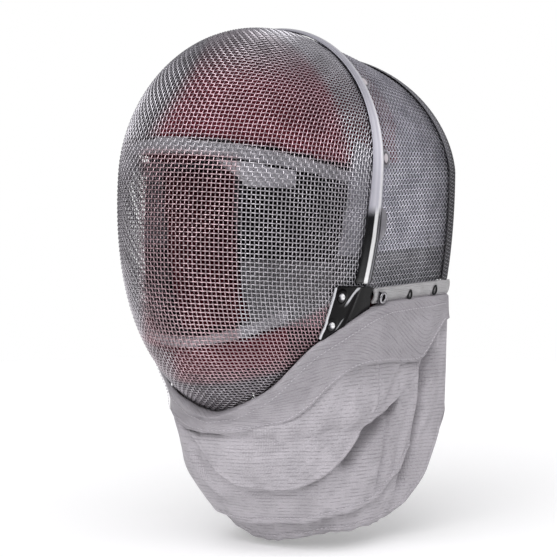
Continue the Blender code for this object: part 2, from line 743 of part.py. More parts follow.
def build_rear_tongue(builder):
    last = len(TONGUE_LINE) - 1

    def place(u, v):
        number = round(v * last)
        row = TONGUE_LINE[last - number]
        before = TONGUE_LINE[max(last - number - 1, 0)]
        after = TONGUE_LINE[min(last - number + 1, last)]
        tangent = Vector((0, after.y - before.y, after.z - before.z)).normalized()
        outward = Vector((1, 0, 0)).cross(tangent)
        x = row.half_width * blend(1, -1, u)
        return Vector((x, row.y, row.z)) - outward * row.curl * x * x

    builder.sheet("rear_tongue", place, 7, last, TONGUE_WALL, "dark_cloth")


def main():
    for leftover in list(bpy.data.objects):
        bpy.data.objects.remove(leftover, do_unlink=True)
    builder = Builder()
    build_face_mesh(builder)
    build_side_mesh(builder)
    build_rim_band(builder)
    build_rear_edging(builder)
    build_brackets(builder)
    build_rim_clips(builder)
    build_side_trims(builder)
    build_bib(builder)
    build_forehead(builder)
    build_brow_tabs(builder)
    build_cheek_pads(builder)
    build_chin_lining(builder)
    build_back_strap(builder)
    build_rear_tongue(builder)


main()
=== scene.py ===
"""Sabre fencing mask, dressed: woven wire face and sides, steel rim, padded lining and layered cloth bib.

The form is worked out in its own frame, whose zero lies midway between the temples in the rim's plane, as
the CAD source does. Workshop moves every finished mesh by the head seat into the row's frame, in metres.
"""

import logging
import math
from contextlib import contextmanager
from dataclasses import dataclass, field
from enum import Enum, IntEnum
from typing import Callable, Iterable, Iterator, Optional, Sequence, Union

import bmesh
import bpy
import numpy as np
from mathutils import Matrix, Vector


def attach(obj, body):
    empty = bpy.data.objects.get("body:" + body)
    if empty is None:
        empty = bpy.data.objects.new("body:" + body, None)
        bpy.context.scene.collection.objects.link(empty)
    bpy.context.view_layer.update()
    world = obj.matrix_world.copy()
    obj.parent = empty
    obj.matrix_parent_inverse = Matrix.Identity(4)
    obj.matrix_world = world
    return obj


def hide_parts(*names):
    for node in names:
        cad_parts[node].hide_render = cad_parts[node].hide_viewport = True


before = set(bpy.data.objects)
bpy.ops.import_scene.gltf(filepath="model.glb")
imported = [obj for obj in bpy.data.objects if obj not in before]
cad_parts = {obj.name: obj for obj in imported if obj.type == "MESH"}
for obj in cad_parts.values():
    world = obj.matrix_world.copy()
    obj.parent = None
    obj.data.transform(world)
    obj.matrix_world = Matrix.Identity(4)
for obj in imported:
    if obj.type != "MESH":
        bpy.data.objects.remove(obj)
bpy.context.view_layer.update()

log = logging.getLogger("fencing_mask")

Points = np.ndarray
Surface = Callable[[np.ndarray, np.ndarray], np.ndarray]

HEAD_SEAT = np.array((0.0, 0.035, 0.0866))
# Points that sheets face away from: inside the shell, the bib and the strap.
CENTRE = np.array((0.0, 0.02, -0.03))
BIB_CENTRE = np.array((0.0, 0.03, -0.19))
STRAP_CENTRE = np.array((0.0, 0.06, -0.1))
LEFT, RIGHT = 1, -1
SIDES = {LEFT: "left", RIGHT: "right"}


def smooth_reading(keys: Sequence[float], values: Sequence[float], at: np.ndarray) -> np.ndarray:
    """Reads a short table on a smooth curve.

    Args:
        keys: the table's key column, rising or falling.
        values: the column that is read.
        at: where to read; it is held inside the keys.

    Returns:
        The readings, shaped as at.
    """
    key, value = np.asarray(keys, float), np.asarray(values, float)
    if key[0] > key[-1]:
        key, value = key[::-1], value[::-1]
    slope = np.empty_like(value)
    slope[1:-1] = (value[2:] - value[:-2]) / (key[2:] - key[:-2])
    slope[0] = (value[1] - value[0]) / (key[1] - key[0])
    slope[-1] = (value[-1] - value[-2]) / (key[-1] - key[-2])
    at = np.clip(at, key[0], key[-1])
    row = np.clip(np.searchsorted(key, at, side="right") - 1, 0, len(key) - 2)
    step = key[row + 1] - key[row]
    t = (at - key[row]) / step
    start = (1 + 2 * t) * (1 - t) ** 2 * value[row] + t * (1 - t) ** 2 * step * slope[row]
    return start + t * t * (3 - 2 * t) * value[row + 1] - t * t * (1 - t) * step * slope[row + 1]


def ease(share: np.ndarray) -> np.ndarray:
    """Smooth step from 0 to 1."""
    share = np.clip(share, 0.0, 1.0)
    return share * share * (3 - 2 * share)


def unit(vectors: Points) -> Points:
    """The vectors at length 1."""
    return vectors / np.maximum(np.linalg.norm(vectors, axis=-1, keepdims=True), 1e-12)


def bell(away: np.ndarray, width: float) -> np.ndarray:
    """1 in the middle, falling off smoothly over the width."""
    return np.exp(-((away / width) ** 2))


def over_crown(low: float, share: np.ndarray) -> np.ndarray:
    """Turn from the right foot of the opening over the crown to the left foot, whose turn is low."""
    return math.pi - low + (2 * low - math.pi) * share


def side_degrees(turn: np.ndarray) -> np.ndarray:
    """A turn in degrees, read the same on both sides: 0 at the temples, 90 at the crown."""
    return 90 - np.abs(90 - np.degrees(turn))


def follow(vectors: Points, length: np.ndarray, at: np.ndarray) -> Points:
    """Reads vectors given along a line at other lengths of it."""
    return np.stack([np.interp(at, length, vectors[:, axis]) for axis in range(3)], -1)


@contextmanager
def edited(mesh: bpy.types.Mesh) -> Iterator[bmesh.types.BMesh]:
    """Opens a mesh for editing and writes it back.

    Args:
        mesh: the mesh.

    Yields:
        Its editable form.
    """
    data = bmesh.new()
    data.from_mesh(mesh)
    yield data
    data.to_mesh(mesh)
    data.free()


@dataclass(frozen=True)
class MaskForm:
    """The wire form: a face dome before the rim, a side shell behind it and the bib's drape below."""

    half_width: float = 0.0963
    crown_height: float = 0.1132
    chin_reach: float = 0.1974
    face_depth: float = 0.1276
    jaw_spread: float = 0.146
    chin_push: float = 0.257
    roundness: float = 0.892
    keel: float = 0.854
    rim_slope: float = 0.106
    rim_jaw_curve: float = 0.0061
    shell_length: float = 0.100
    shell_rear_rise: float = 0.17
    shell_flare: float = 0.038
    crown_drop: float = 0.25
    drop_start: float = -0.080
    drop_end: float = 0.080
    side_y: float = 0.030
    rear_y: float = 0.102
    # Bib outline by height: height, centre front y, half width beside the ear, half width at the rear edge.
    bib_levels: tuple[tuple[float, float, float, float], ...] = (
        (-0.0900, -0.1300, 0.0910, 0.0935),
        (-0.1150, -0.1060, 0.0885, 0.0935),
        (-0.1310, -0.0940, 0.0860, 0.0930),
        (-0.1540, -0.0780, 0.0815, 0.0925),
        (-0.1740, -0.0705, 0.0790, 0.0920),
        (-0.1830, -0.0715, 0.0780, 0.0912),
        (-0.1950, -0.0705, 0.0765, 0.0900),
        (-0.2070, -0.0675, 0.0752, 0.0885),
        (-0.2195, -0.0605, 0.0740, 0.0865),
        (-0.2320, -0.0500, 0.0720, 0.0835),
        (-0.2440, -0.0370, 0.0685, 0.0795),
        (-0.2560, -0.0220, 0.0625, 0.0745),
        (-0.2680, -0.0060, 0.0545, 0.0685),
        (-0.2750, 0.0030, 0.0470, 0.0640),
        (-0.2810, 0.0115, 0.0370, 0.0580),
    )
    # Rear edge of the face dome below the rim: height, y.
    jaw_edge: tuple[tuple[float, float], ...] = (
        (-0.1740, -0.0600),
        (-0.1540, -0.0570),
        (-0.1310, -0.0500),
        (-0.1150, -0.0410),
        (-0.1000, -0.0240),
        (-0.0830, -0.0086),
    )

    def pole(self, rise: np.ndarray) -> np.ndarray:
        """Height of the dome's pole on the side of the rise."""
        return np.where(rise > 0, self.crown_height, self.chin_reach)

    def crown_share(self, rise: np.ndarray, y: np.ndarray) -> np.ndarray:
        """Share of the full crown height left at y."""
        fall = np.clip((y - self.drop_start) / (self.drop_end - self.drop_start), 0.0, None)
        return np.where(rise > 0, 1 - self.crown_drop * fall**2, 1.0)

    def bow(self, lowness: np.ndarray) -> np.ndarray:
        """Power that takes a share of the dome's depth to a share of its ring."""
        return 1 / (self.roundness + self.keel * lowness)

    def rim_y(self, z: np.ndarray, lowness: np.ndarray) -> np.ndarray:
        """Y of the rim plane at height z."""
        return self.rim_slope * z + self.rim_jaw_curve * lowness

    def skin(self, turn: np.ndarray, reach: np.ndarray, lift: float = 0.0) -> Points:
        """Point round the opening.

        Args:
            turn: 0 at the wearer's left temple, a right angle at the crown.
            reach: distance behind the rim plane; negative is on the face dome.
            lift: distance outside the form.

        Returns:
            The points.
        """
        turn, reach = np.broadcast_arrays(np.asarray(turn, float), np.asarray(reach, float))
        rise = np.sin(turn)
        lowness = np.minimum(rise, 0.0) ** 2
        height = (self.pole(rise) + lift) * rise
        width = (self.half_width + lift) * (1 + self.jaw_spread * lowness) * np.cos(turn)
        depth = (self.face_depth + lift) * (1 + self.chin_push * lowness)
        forward = np.minimum(1.0, np.maximum(-reach, 0.0) / depth) ** self.bow(lowness)
        shrink = np.sqrt(1 - forward**2)
        front_y = self.rim_y(height * shrink, lowness) + reach
        front = np.stack((width * shrink, front_y, height * shrink * self.crown_share(rise, front_y)), -1)
        plane = self.rim_y(height, lowness)
        back = reach / (self.shell_rear(height) - plane)
        y = plane + reach
        flared = width * (1 + self.shell_flare * back**2)
        behind = np.stack((flared, y, height * self.crown_share(rise, y)), -1)
        return np.where((reach < 0)[..., None], front, behind)

    def shell_rear(self, height: np.ndarray) -> np.ndarray:
        """Y of the shell's rear edge behind a rim point."""
        return self.shell_length - self.shell_rear_rise * np.maximum(height * (1 - self.crown_drop), 0.0)

    def shell_span(self, turn: np.ndarray) -> np.ndarray:
        """Length of the side shell from the rim plane to its rear edge.

        Args:
            turn: 0 at the wearer's left temple, a right angle at the crown.

        Returns:
            The length.
        """
        rise = np.sin(turn)
        height = self.pole(rise) * rise
        return self.shell_rear(height) - self.rim_y(height, np.minimum(rise, 0.0) ** 2)

    def side(self, y: np.ndarray, z: np.ndarray) -> Points:
        """Point of the form on the wearer's left, below the temple line.

        Args:
            y: place from front to rear.
            z: height.

        Returns:
            The points.
        """
        y, z = np.broadcast_arrays(np.asarray(y, float), np.asarray(z, float))
        rise = z / self.chin_reach
        lowness = np.minimum(rise, 0.0) ** 2
        plane = self.rim_y(z, lowness)
        depth = self.face_depth * (1 + self.chin_push * lowness)
        forward = (np.maximum(plane - y, 0.0) / depth) ** self.bow(lowness)
        back = np.maximum(y - plane, 0.0) / (self.shell_length - plane)
        ring = np.sqrt(np.maximum(0.0, 1 - rise * rise - forward**2))
        spread = self.half_width * (1 + self.jaw_spread * lowness) * (1 + self.shell_flare * back**2)
        return np.stack((spread * ring, y, z), -1)

    def bib(self, around: np.ndarray, z: np.ndarray) -> Points:
        """Point of the bib's base form.

        Args:
            around: -1 right rear edge, 0 centre front, 1 left rear edge.
            z: height.

        Returns:
            The points.
        """
        around, z = np.broadcast_arrays(np.asarray(around, float), np.asarray(z, float))
        level, front_y, side_x, rear_x = zip(*self.bib_levels)
        front = smooth_reading(level, front_y, z)
        beside = smooth_reading(level, side_x, z)
        rear = smooth_reading(level, rear_x, z)
        share = np.abs(around)
        angle = np.minimum(share, 0.5) * math.pi
        back = np.maximum(share - 0.5, 0.0) / 0.5
        x = beside * np.sin(angle) + (rear - beside) * back**2
        y = self.side_y - (self.side_y - front) * np.cos(angle) + (self.rear_y - self.side_y) * back
        return np.stack((np.where(around < 0, -x, x), y, z), -1)

    def level_set(self, points: Points) -> np.ndarray:
        """Level that is 0 on the form.

        Args:
            points: where to read it.

        Returns:
            Below 0 inside the dome and shell, above 0 outside them.
        """
        x, y, z = points[..., 0], points[..., 1], points[..., 2]
        flat_z = z / self.crown_share(z, y)
        rise = flat_z / self.pole(z)
        lowness = np.minimum(rise, 0.0) ** 2
        depth = self.face_depth * (1 + self.chin_push * lowness)
        width = self.half_width * (1 + self.jaw_spread * lowness)
        forward = np.clip((self.rim_y(flat_z, lowness) - y) / depth, 1e-9, None) ** self.bow(lowness)
        return rise**2 + (x / width) ** 2 + forward**2 - 1

    def slope(self, points: Points, step: float = 1e-6) -> Points:
        """Gradient of level_set.

        Args:
            points: where to read it.
            step: half the distance that it is measured over.

        Returns:
            The gradients.
        """
        result = np.empty(points.shape)
        for axis in range(3):
            move = np.zeros(3)
            move[axis] = step
            result[..., axis] = (self.level_set(points + move) - self.level_set(points - move)) / (2 * step)
        return result

    def jaw_y(self, z: np.ndarray) -> np.ndarray:
        """Y of the face dome's rear edge: the rim, or the jaw edge below it.

        Args:
            z: height.

        Returns:
            The edge's y.
        """
        heights, places = zip(*self.jaw_edge)
        rise = z / self.chin_reach
        plane = self.rim_y(z, np.minimum(rise, 0.0) ** 2)
        return np.where(z < self.jaw_edge[-1][0], np.interp(z, heights, places), plane)


FORM = MaskForm()


def lifted(surface: Surface, u: np.ndarray, v: np.ndarray, lift: Union[float, np.ndarray],
           step_u: float, step_v: float) -> Points:
    """Moves a surface along its outward normal.

    Args:
        surface: the surface.
        u: its first coordinate.
        v: its second coordinate.
        lift: distance, one number or one a point.
        step_u: small step in u; its sign sets which way is out.
        step_v: small step in v.

    Returns:
        The moved points.
    """
    along = surface(u + step_u, v) - surface(u - step_u, v)
    across = surface(u, v + step_v) - surface(u, v - step_v)
    return surface(u, v) + unit(np.cross(along, across)) * np.asarray(lift)[..., None]


def skin_lifted(turn: np.ndarray, reach: np.ndarray, lift: Union[float, np.ndarray]) -> Points:
    """Point off the shell, round the opening."""
    return lifted(FORM.skin, turn, reach, lift, -0.004, 0.0003)


def side_lifted(y: np.ndarray, z: np.ndarray, lift: Union[float, np.ndarray]) -> Points:
    """Point off the shell's left side."""
    return lifted(FORM.side, y, z, lift, 0.0003, 0.0003)


def bib_lifted(around: np.ndarray, z: np.ndarray, lift: Union[float, np.ndarray]) -> Points:
    """Point off the bib's base form."""
    return lifted(FORM.bib, around, z, lift, 0.002, 0.0002)


# ---------------------------------------------------------------- shader maths


class Socket:
    """A value socket that Python's operators turn into Math nodes."""

    def __init__(self, shader: "Shader", socket: bpy.types.NodeSocket) -> None:
        """Wraps a socket of the shader."""
        self.shader, self.socket = shader, socket

    def _math(self, operation: str, first: "Operand", second: "Operand") -> "Socket":
        """One Math node."""
        return self.shader.node("ShaderNodeMath", {"operation": operation}, {0: first, 1: second})

    def __add__(self, other: "Operand") -> "Socket":
        """Sum."""
        return self._math("ADD", self, other)

    def __sub__(self, other: "Operand") -> "Socket":
        """Difference."""
        return self._math("SUBTRACT", self, other)

    def __rsub__(self, other: "Operand") -> "Socket":
        """Reflected difference."""
        return self._math("SUBTRACT", other, self)

    def __mul__(self, other: "Operand") -> "Socket":
        """Product."""
        return self._math("MULTIPLY", self, other)

    def __truediv__(self, other: "Operand") -> "Socket":
        """Quotient."""
        return self._math("DIVIDE", self, other)

    def __pow__(self, other: "Operand") -> "Socket":
        """Power."""
        return self._math("POWER", self, other)

    __radd__ = __add__
    __rmul__ = __mul__


Operand = Union[Socket, float]
Colour = tuple[float, float, float]
Tone = Union[Socket, Colour]


class Shader:
    """Builds one node tree of a material or a world."""

    def __init__(self, tree: bpy.types.NodeTree) -> None:
        """Takes the tree over and clears it."""
        self.tree = tree
        tree.nodes.clear()

    def node(self, kind: str, settings: Optional[dict] = None, inputs: Optional[dict] = None,
             output: Union[int, str] = 0) -> Socket:
        """Adds a node.

        Args:
            kind: the node's type.
            settings: its own settings, set first; "stops" are a ramp's stops.
            inputs: values or links by the socket's name or number.
            output: which output to wrap.

        Returns:
            The wrapped output.
        """
        node = self.tree.nodes.new(kind)
        for name, value in (settings or {}).items():
            if name == "stops":
                elements = node.color_ramp.elements
                while len(elements) < len(value):
                    elements.new(1.0)
                for element, (place, colour) in zip(elements, value):
                    element.position, element.color = place, (*colour, 1.0)
            else:
                setattr(node, name, value)
        for name, value in (inputs or {}).items():
            if isinstance(value, Socket):
                self.tree.links.new(value.socket, node.inputs[name])
            elif isinstance(value, tuple) and len(value) == 3 and node.inputs[name].type == "RGBA":
                node.inputs[name].default_value = (*value, 1.0)
            else:
                node.inputs[name].default_value = value
        return Socket(self, node.outputs[output] if len(node.outputs) else None)

    def math(self, operation: str, first: Operand, second: Operand = 0.0) -> Socket:
        """A Math node with no operator of its own."""
        return self.node("ShaderNodeMath", {"operation": operation}, {0: first, 1: second})

    def wave(self, value: Operand, pitch: float) -> Socket:
        """Sine of a length, from 0 to 1, once every pitch."""
        return self.math("SINE", value * (2 * math.pi / pitch)) * 0.5 + 0.5

    def noise(self, scale: float, vector: Socket, detail: float = 3.0, rough: float = 0.5) -> Socket:
        """Soft noise from 0 to 1."""
        return self.node("ShaderNodeTexNoise", None,
                         {"Vector": vector, "Scale": scale, "Detail": detail, "Roughness": rough})

    def ramp(self, value: Socket, low: float, high: float) -> Socket:
        """0 below low, 1 above high."""
        return self.node("ShaderNodeMapRange", {"interpolation_type": "SMOOTHSTEP"},
                         {"Value": value, "From Min": low, "From Max": high})

    def mix(self, share: Operand, first: Tone, second: Tone) -> Socket:
        """Mixes two colours."""
        return self.node("ShaderNodeMix", {"data_type": "RGBA"}, {"Factor": share, 6: first, 7: second}, 2)

    def stretch(self, vector: Socket, scale: tuple[float, float, float], turn: float = 0.0) -> Socket:
        """Scales and turns a coordinate."""
        return self.node("ShaderNodeMapping", None,
                         {"Vector": vector, "Scale": scale, "Rotation": (0, 0, turn)})

    def place(self) -> Socket:
        """Object coordinates."""
        return self.node("ShaderNodeTexCoord", None, None, "Object")

    def cloth_place(self, turn: float = 0.0) -> Socket:
        """The piece's own cloth map, in metres, turned by an angle."""
        flat = self.node("ShaderNodeUVMap", {"uv_map": "cloth"})
        return self.stretch(flat, (1, 1, 1), turn)

    def share(self, number: int) -> Socket:
        """The piece's share map, 0 to 1 along one of its two ways."""
        return self.axis(self.node("ShaderNodeUVMap", {"uv_map": "share"}), number)

    def stops(self, value: Socket, stops: Sequence[tuple[float, Colour]]) -> Socket:
        """Reads a colour ramp."""
        return self.node("ShaderNodeValToRGB", {"stops": stops}, {"Fac": value})

    def axis(self, vector: Socket, number: int) -> Socket:
        """One number of a vector."""
        return self.node("ShaderNodeSeparateXYZ", None, {0: vector}, number)

    def bump(self, height: Operand, distance: float, strength: float = 1.0) -> Socket:
        """A Bump node."""
        return self.node("ShaderNodeBump", None,
                         {"Height": height, "Distance": distance, "Strength": strength})


@dataclass(frozen=True)
class Finish:
    """A material of the mask."""

    name: str

    def make(self) -> bpy.types.Material:
        """Builds the material once and reuses it after that."""
        known = bpy.data.materials.get("finish_" + self.name)
        if known:
            return known
        material = bpy.data.materials.new("finish_" + self.name)
        material.use_nodes = True
        shader = Shader(material.node_tree)
        sockets = self.paint(shader)
        surface = shader.node("ShaderNodeBsdfPrincipled", None, sockets)
        shader.node("ShaderNodeOutputMaterial", None, {"Surface": surface})
        return material

    def paint(self, shader: Shader) -> dict:
        """Sockets of the Principled shader.

        Args:
            shader: the material's shader.

        Returns:
            The sockets.
        """
        raise NotImplementedError


@dataclass(frozen=True)
class Metal(Finish):
    """Bright or dark metal with fine wear."""

    colour: Colour = (0.6, 0.6, 0.62)
    wear_and_highlight: Colour = (0.5, 0.5, 0.52)
    rough: float = 0.3
    rough_spread: float = 0.12
    grain: float = 900.0
    dent: float = 0.00003
    metallic: float = 1.0

    def paint(self, shader: Shader) -> dict:
        """Clouded colour and roughness with a fine grain.

        Args:
            shader: the material's shader.

        Returns:
            The sockets.
        """
        place = shader.place()
        cloud = shader.noise(60.0, place, 4.0)
        fine = shader.noise(self.grain, place, 2.0, 0.6)
        return {
            "Base Color": shader.mix(shader.ramp(cloud, 0.35, 0.7), self.colour, self.wear_and_highlight),
            "Roughness": cloud * self.rough_spread + (self.rough - self.rough_spread / 2),
            "Metallic": self.metallic,
            "Normal": shader.bump(fine, self.dent),
        }


def aside_of(shader: Shader, place: Socket) -> Socket:
    """Place from left to right as the camera sees the mask, in metres."""
    return shader.axis(place, 0) * 0.82 + shader.axis(place, 1) * 0.57


def off_centre(shader: Shader, place: Socket) -> Socket:
    """Share by which a point of the crown lies above or beside the red part of the lining.

    Args:
        shader: the material's shader.
        place: object coordinates.

    Returns:
        The share.
    """
    beside = shader.ramp(aside_of(shader, place) - shader.axis(place, 2) * 0.646, -0.0540, -0.0730)
    above = shader.ramp(shader.axis(place, 2), -0.0280, 0.0120) * 0.85
    return shader.math("MAXIMUM", beside, above)


@dataclass(frozen=True)
class Wire(Metal):
    """Bright wire with painted reflection of the lining behind it and painted shade, zone by zone down the
    mask.
    """

    # Painted reflection and painted shade below each sloping plane: height at y 0, slope against y, colour.
    painted_light_zones: tuple[tuple[float, float, Colour], ...] = ()
    blend: float = 0.004
    # Painted reflection of the red lining beside the right cheek pad, from the second plane to the third.
    cheek: Optional[Colour] = None
    # Colour of the painted reflection right of the chin pad, below the third plane.
    jaw: Optional[Colour] = None
    # Colour of the painted reflection near the rim: start and end of the change in y.
    beside: Optional[tuple[float, float, Colour]] = None
    # Painted shade toward one end of an axis: axis, start, end, share.
    painted_shade_fades: tuple[tuple[int, float, float, float], ...] = ()
    # Colour of the painted reflection on the crown, off the red lining.
    crown: Optional[Colour] = None
    # Colour that the painted shade leads to.
    painted_shade_colour: Colour = (0.03, 0.03, 0.035)

    def paint(self, shader: Shader) -> dict:
        """The metal's sockets with painted reflection and painted shade, a colour for each zone.

        Args:
            shader: the material's shader.

        Returns:
            The sockets.
        """
        sockets = super().paint(shader)
        place = shader.place()
        cloud = shader.ramp(shader.noise(60.0, place, 4.0), 0.35, 0.7)
        colour = sockets["Base Color"]
        if self.crown:
            colour = shader.mix(off_centre(shader, place), colour, self.clouded(shader, cloud, self.crown))
        aside = aside_of(shader, place)
        for number, (height, slope, tint) in enumerate(self.painted_light_zones):
            level = shader.axis(place, 2) - shader.axis(place, 1) * slope
            below = shader.ramp(level, height + self.blend, height - self.blend)
            colour = shader.mix(below, colour, self.clouded(shader, cloud, tint))
            if self.cheek and number == 1:
                share = shader.ramp(aside, -0.0365, -0.0425) * shader.ramp(aside, -0.1130, -0.1030) * below
                colour = shader.mix(share, colour, self.clouded(shader, cloud, self.cheek))
            if self.jaw and number == 2:
                share = shader.ramp(aside, -0.0800, -0.0910) * below
                colour = shader.mix(share, colour, self.clouded(shader, cloud, self.jaw))
        if self.beside:
            start, end, tint = self.beside
            share = shader.ramp(shader.axis(place, 1), start, end)
            colour = shader.mix(share, colour, self.clouded(shader, cloud, tint))
        for axis, start, end, share in self.painted_shade_fades:
            painted_shade_share = shader.ramp(shader.axis(place, axis), start, end) * share
            colour = shader.mix(painted_shade_share, colour, self.painted_shade_colour)
        return {**sockets, "Base Color": colour}

    @staticmethod
    def clouded(shader: Shader, cloud: Socket, tint: Colour) -> Socket:
        """A tint that wears in clouds."""
        return shader.mix(cloud, tint, tuple(part * 0.74 for part in tint))


@dataclass(frozen=True)
class Cloth(Finish):
    """Woven cloth with broken ribs and finer threads across them, and painted shade in its creases."""

    colour: Colour = (0.5, 0.5, 0.5)
    shade: Colour = (0.4, 0.4, 0.4)
    rib: float = 0.0030
    thread: float = 0.0011
    depth: float = 0.00022
    turn: float = 0.0
    level: bool = False
    contrast: float = 0.26
    shading: float = 0.55
    sway: float = 0.010
    rough: float = 0.62
    metallic: float = 0.0

    def paint(self, shader: Shader) -> dict:
        """Broken rib lines, threads in patches, slubs, soft clouds and painted crease shade.

        Args:
            shader: the material's shader.

        Returns:
            The sockets.
        """
        place, flat = shader.place(), shader.cloth_place(self.turn)
        across = shader.axis(place, 2) if self.level else shader.axis(flat, 1)
        sway = shader.noise(9.0, place, 2.0) * self.sway
        broken = shader.ramp(shader.noise(1.0, shader.stretch(flat, (95.0, 520.0, 1.0)), 2.0), 0.34, 0.62)
        line = shader.ramp(shader.wave(across + sway, self.rib), 0.30, 0.0) * broken
        patches = shader.ramp(shader.noise(50.0, flat, 2.0), 0.38, 0.62)
        threads = shader.wave(shader.axis(flat, 0) + sway * 0.1, self.thread) * (patches * 0.8 + 0.2)
        slubs = shader.noise(1.0, shader.stretch(flat, (900.0, 1700.0, 1.0)), 2.0)
        cloud = shader.noise(30.0, place, 3.0)
        tone = slubs * 0.9 + cloud * 0.30 - line * self.contrast - threads * 0.19 + 0.03
        height = slubs * 0.7 - line - threads * 0.5
        woven = shader.mix(shader.ramp(tone, 0.05, 0.95), self.shade, self.colour)
        # Painted shade that darkens the cloth where the crease attribute is deep.
        crease = shader.node("ShaderNodeAttribute", {"attribute_name": "crease"}, None, "Fac")
        painted_crease_shade = tuple(part * 0.32 for part in self.colour)
        return {
            "Base Color": shader.mix(shader.ramp(crease, 0.0012, 0.0100) * self.shading, woven, painted_crease_shade),
            "Roughness": slubs * 0.12 + (self.rough - 0.06),
            "Metallic": self.metallic,
            "Normal": shader.bump(height, self.depth),
        }


@dataclass(frozen=True)
class Nap(Finish):
    """Brushed lining cloth, read from object coordinates."""

    colour: Colour = (0.2, 0.03, 0.04)
    shade: Colour = (0.12, 0.02, 0.03)
    pile: float = 1500.0
    depth: float = 0.0003
    rough: float = 0.95
    sheen: float = 0.2
    gloss: float = 0.5
    # Colour of the crown off the red part.
    crown: Optional[Colour] = None

    def paint(self, shader: Shader) -> dict:
        """Pile and handling marks.

        Args:
            shader: the material's shader.

        Returns:
            The sockets.
        """
        place = shader.place()
        pile = shader.noise(self.pile, place, 3.0, 0.7)
        marks = shader.noise(38.0, place, 3.0)
        tone = shader.ramp(marks * 0.7 + pile * 0.4, 0.35, 0.75)
        colour = shader.mix(tone, self.shade, self.colour)
        if self.crown:
            high = shader.ramp(shader.axis(place, 2), -0.085, -0.075)
            colour = shader.mix(off_centre(shader, place) * high, colour, self.crown)
        return {
            "Base Color": colour,
            "Roughness": self.rough,
            "Sheen Weight": self.sheen,
            "Specular IOR Level": self.gloss,
            "Normal": shader.bump(pile, self.depth),
        }


@dataclass(frozen=True)
class Banded(Finish):
    """Steel banded across its share map: bands of painted highlight above a height, darkened toward the top
    as painted shade, and black with a painted white reflection streak below it.
    """

    # Colour stops across the band: painted highlights and painted shade above the height; below it, black
    # with a painted white reflection streak.
    upper: tuple[tuple[float, Colour], ...] = ()
    lower: tuple[tuple[float, Colour], ...] = ()
    change: float = -0.112
    blend: float = 0.005
    painted_top_shade: float = 0.48

    def paint(self, shader: Shader) -> dict:
        """Bands of painted highlight and painted shade, with a painted reflection streak on the black below,
        and fine wear.

        Args:
            shader: the material's shader.

        Returns:
            The sockets.
        """
        place = shader.place()
        height = shader.axis(place, 2)
        cloud = shader.noise(90.0, place, 4.0)
        across = shader.share(1) + (cloud - 0.5) * 0.04
        below = shader.ramp(height, self.change + self.blend, self.change - self.blend)
        painted_shade_share = shader.ramp(height, -0.085, -0.005) * self.painted_top_shade
        upper_painted_highlights = shader.mix(painted_shade_share, shader.stops(across, self.upper), (0.12, 0.12, 0.14))
        return {
            "Base Color": shader.mix(below, upper_painted_highlights, shader.stops(across, self.lower)),
            "Roughness": cloud * 0.16 + 0.26 - below * 0.10,
            "Metallic": 0.30,
            "Normal": shader.bump(shader.noise(700.0, place, 2.0, 0.6), 0.00001),
        }


@dataclass(frozen=True)
class Lacquer(Finish):
    """Near-black gloss with painted highlights: a bright front edge, a hook-shaped streak and a glint."""

    colour: Colour = (0.004, 0.0036, 0.0042)
    # Colour of the painted highlights.
    wear_and_highlight: Colour = (0.72, 0.72, 0.75)
    edge: float = 0.035
    gloss: float = 0.10
    rough: float = 0.16

    def paint(self, shader: Shader) -> dict:
        """Gloss with a painted highlight of bright metal along the share map's first edge, a painted hook
        highlight and a painted glint.

        Args:
            shader: the material's shader.

        Returns:
            The sockets.
        """
        place = shader.place()
        cloud = shader.noise(240.0, place, 3.0)
        u, v = shader.share(0) + (cloud - 0.5) * 0.012, shader.share(1)
        painted_highlight = shader.ramp(u, self.edge, self.edge * 0.7)
        hook = shader.math("ABSOLUTE", u - v * v * 0.36 - 0.225)
        # Painted highlight in a hook across the plate.
        streak = shader.ramp(hook, 0.050, 0.016) * shader.ramp(v, 0.52, 0.66) * shader.ramp(v, 1.0, 0.95)
        glint = shader.ramp(shader.math("ABSOLUTE", u - v * 0.5 - 0.235), 0.030, 0.010)
        painted_highlight = painted_highlight + streak * 0.85 + glint * shader.ramp(v, 0.26, 0.20) * shader.ramp(v, 0.05, 0.10) * 0.5
        return {
            "Base Color": shader.mix(painted_highlight, self.colour, self.wear_and_highlight),
            "Roughness": cloud * 0.10 + (self.rough - 0.05) + painted_highlight * 0.12,
            "Metallic": painted_highlight * 0.5,
            "Specular IOR Level": self.gloss,
            "Normal": shader.bump(cloud, 0.00006),
        }


@dataclass(frozen=True)
class Domed(Finish):
    """Polished dome heads with painted highlight and painted shade: bright on top, dark round the foot."""

    # Y and z of the heads in the form's frame.
    centres: tuple[tuple[float, float], ...] = ()
    radius: float = 0.0033

    def paint(self, shader: Shader) -> dict:
        """Painted highlight and painted shade in rings round the nearest head's axis.

        Args:
            shader: the material's shader.

        Returns:
            The sockets.
        """
        place = shader.place()
        near: Operand = 1.0
        for y, z in self.centres:
            # The painted highlight's middle sits a little forward of and above each head's centre.
            beside = shader.axis(place, 1) - (y - HEAD_SEAT[1] - 0.0005)
            above = shader.axis(place, 2) - (z - HEAD_SEAT[2] + 0.0005)
            near = shader.math("MINIMUM", near, (beside ** 2 + above ** 2) ** 0.5 / self.radius)
        cloud = shader.noise(500.0, place, 3.0)
        tone = shader.stops(near + (cloud - 0.5) * 0.10, (
            (0.0, (1.0, 1.0, 1.0)), (0.50, (1.0, 1.0, 1.0)), (0.68, (0.34, 0.33, 0.36)),
            (0.86, (0.03, 0.03, 0.034)), (1.0, (0.01, 0.01, 0.011))))
        return {"Base Color": tone, "Roughness": cloud * 0.1 + 0.22, "Metallic": 0.35,
                "Normal": shader.bump(cloud, 0.00002)}


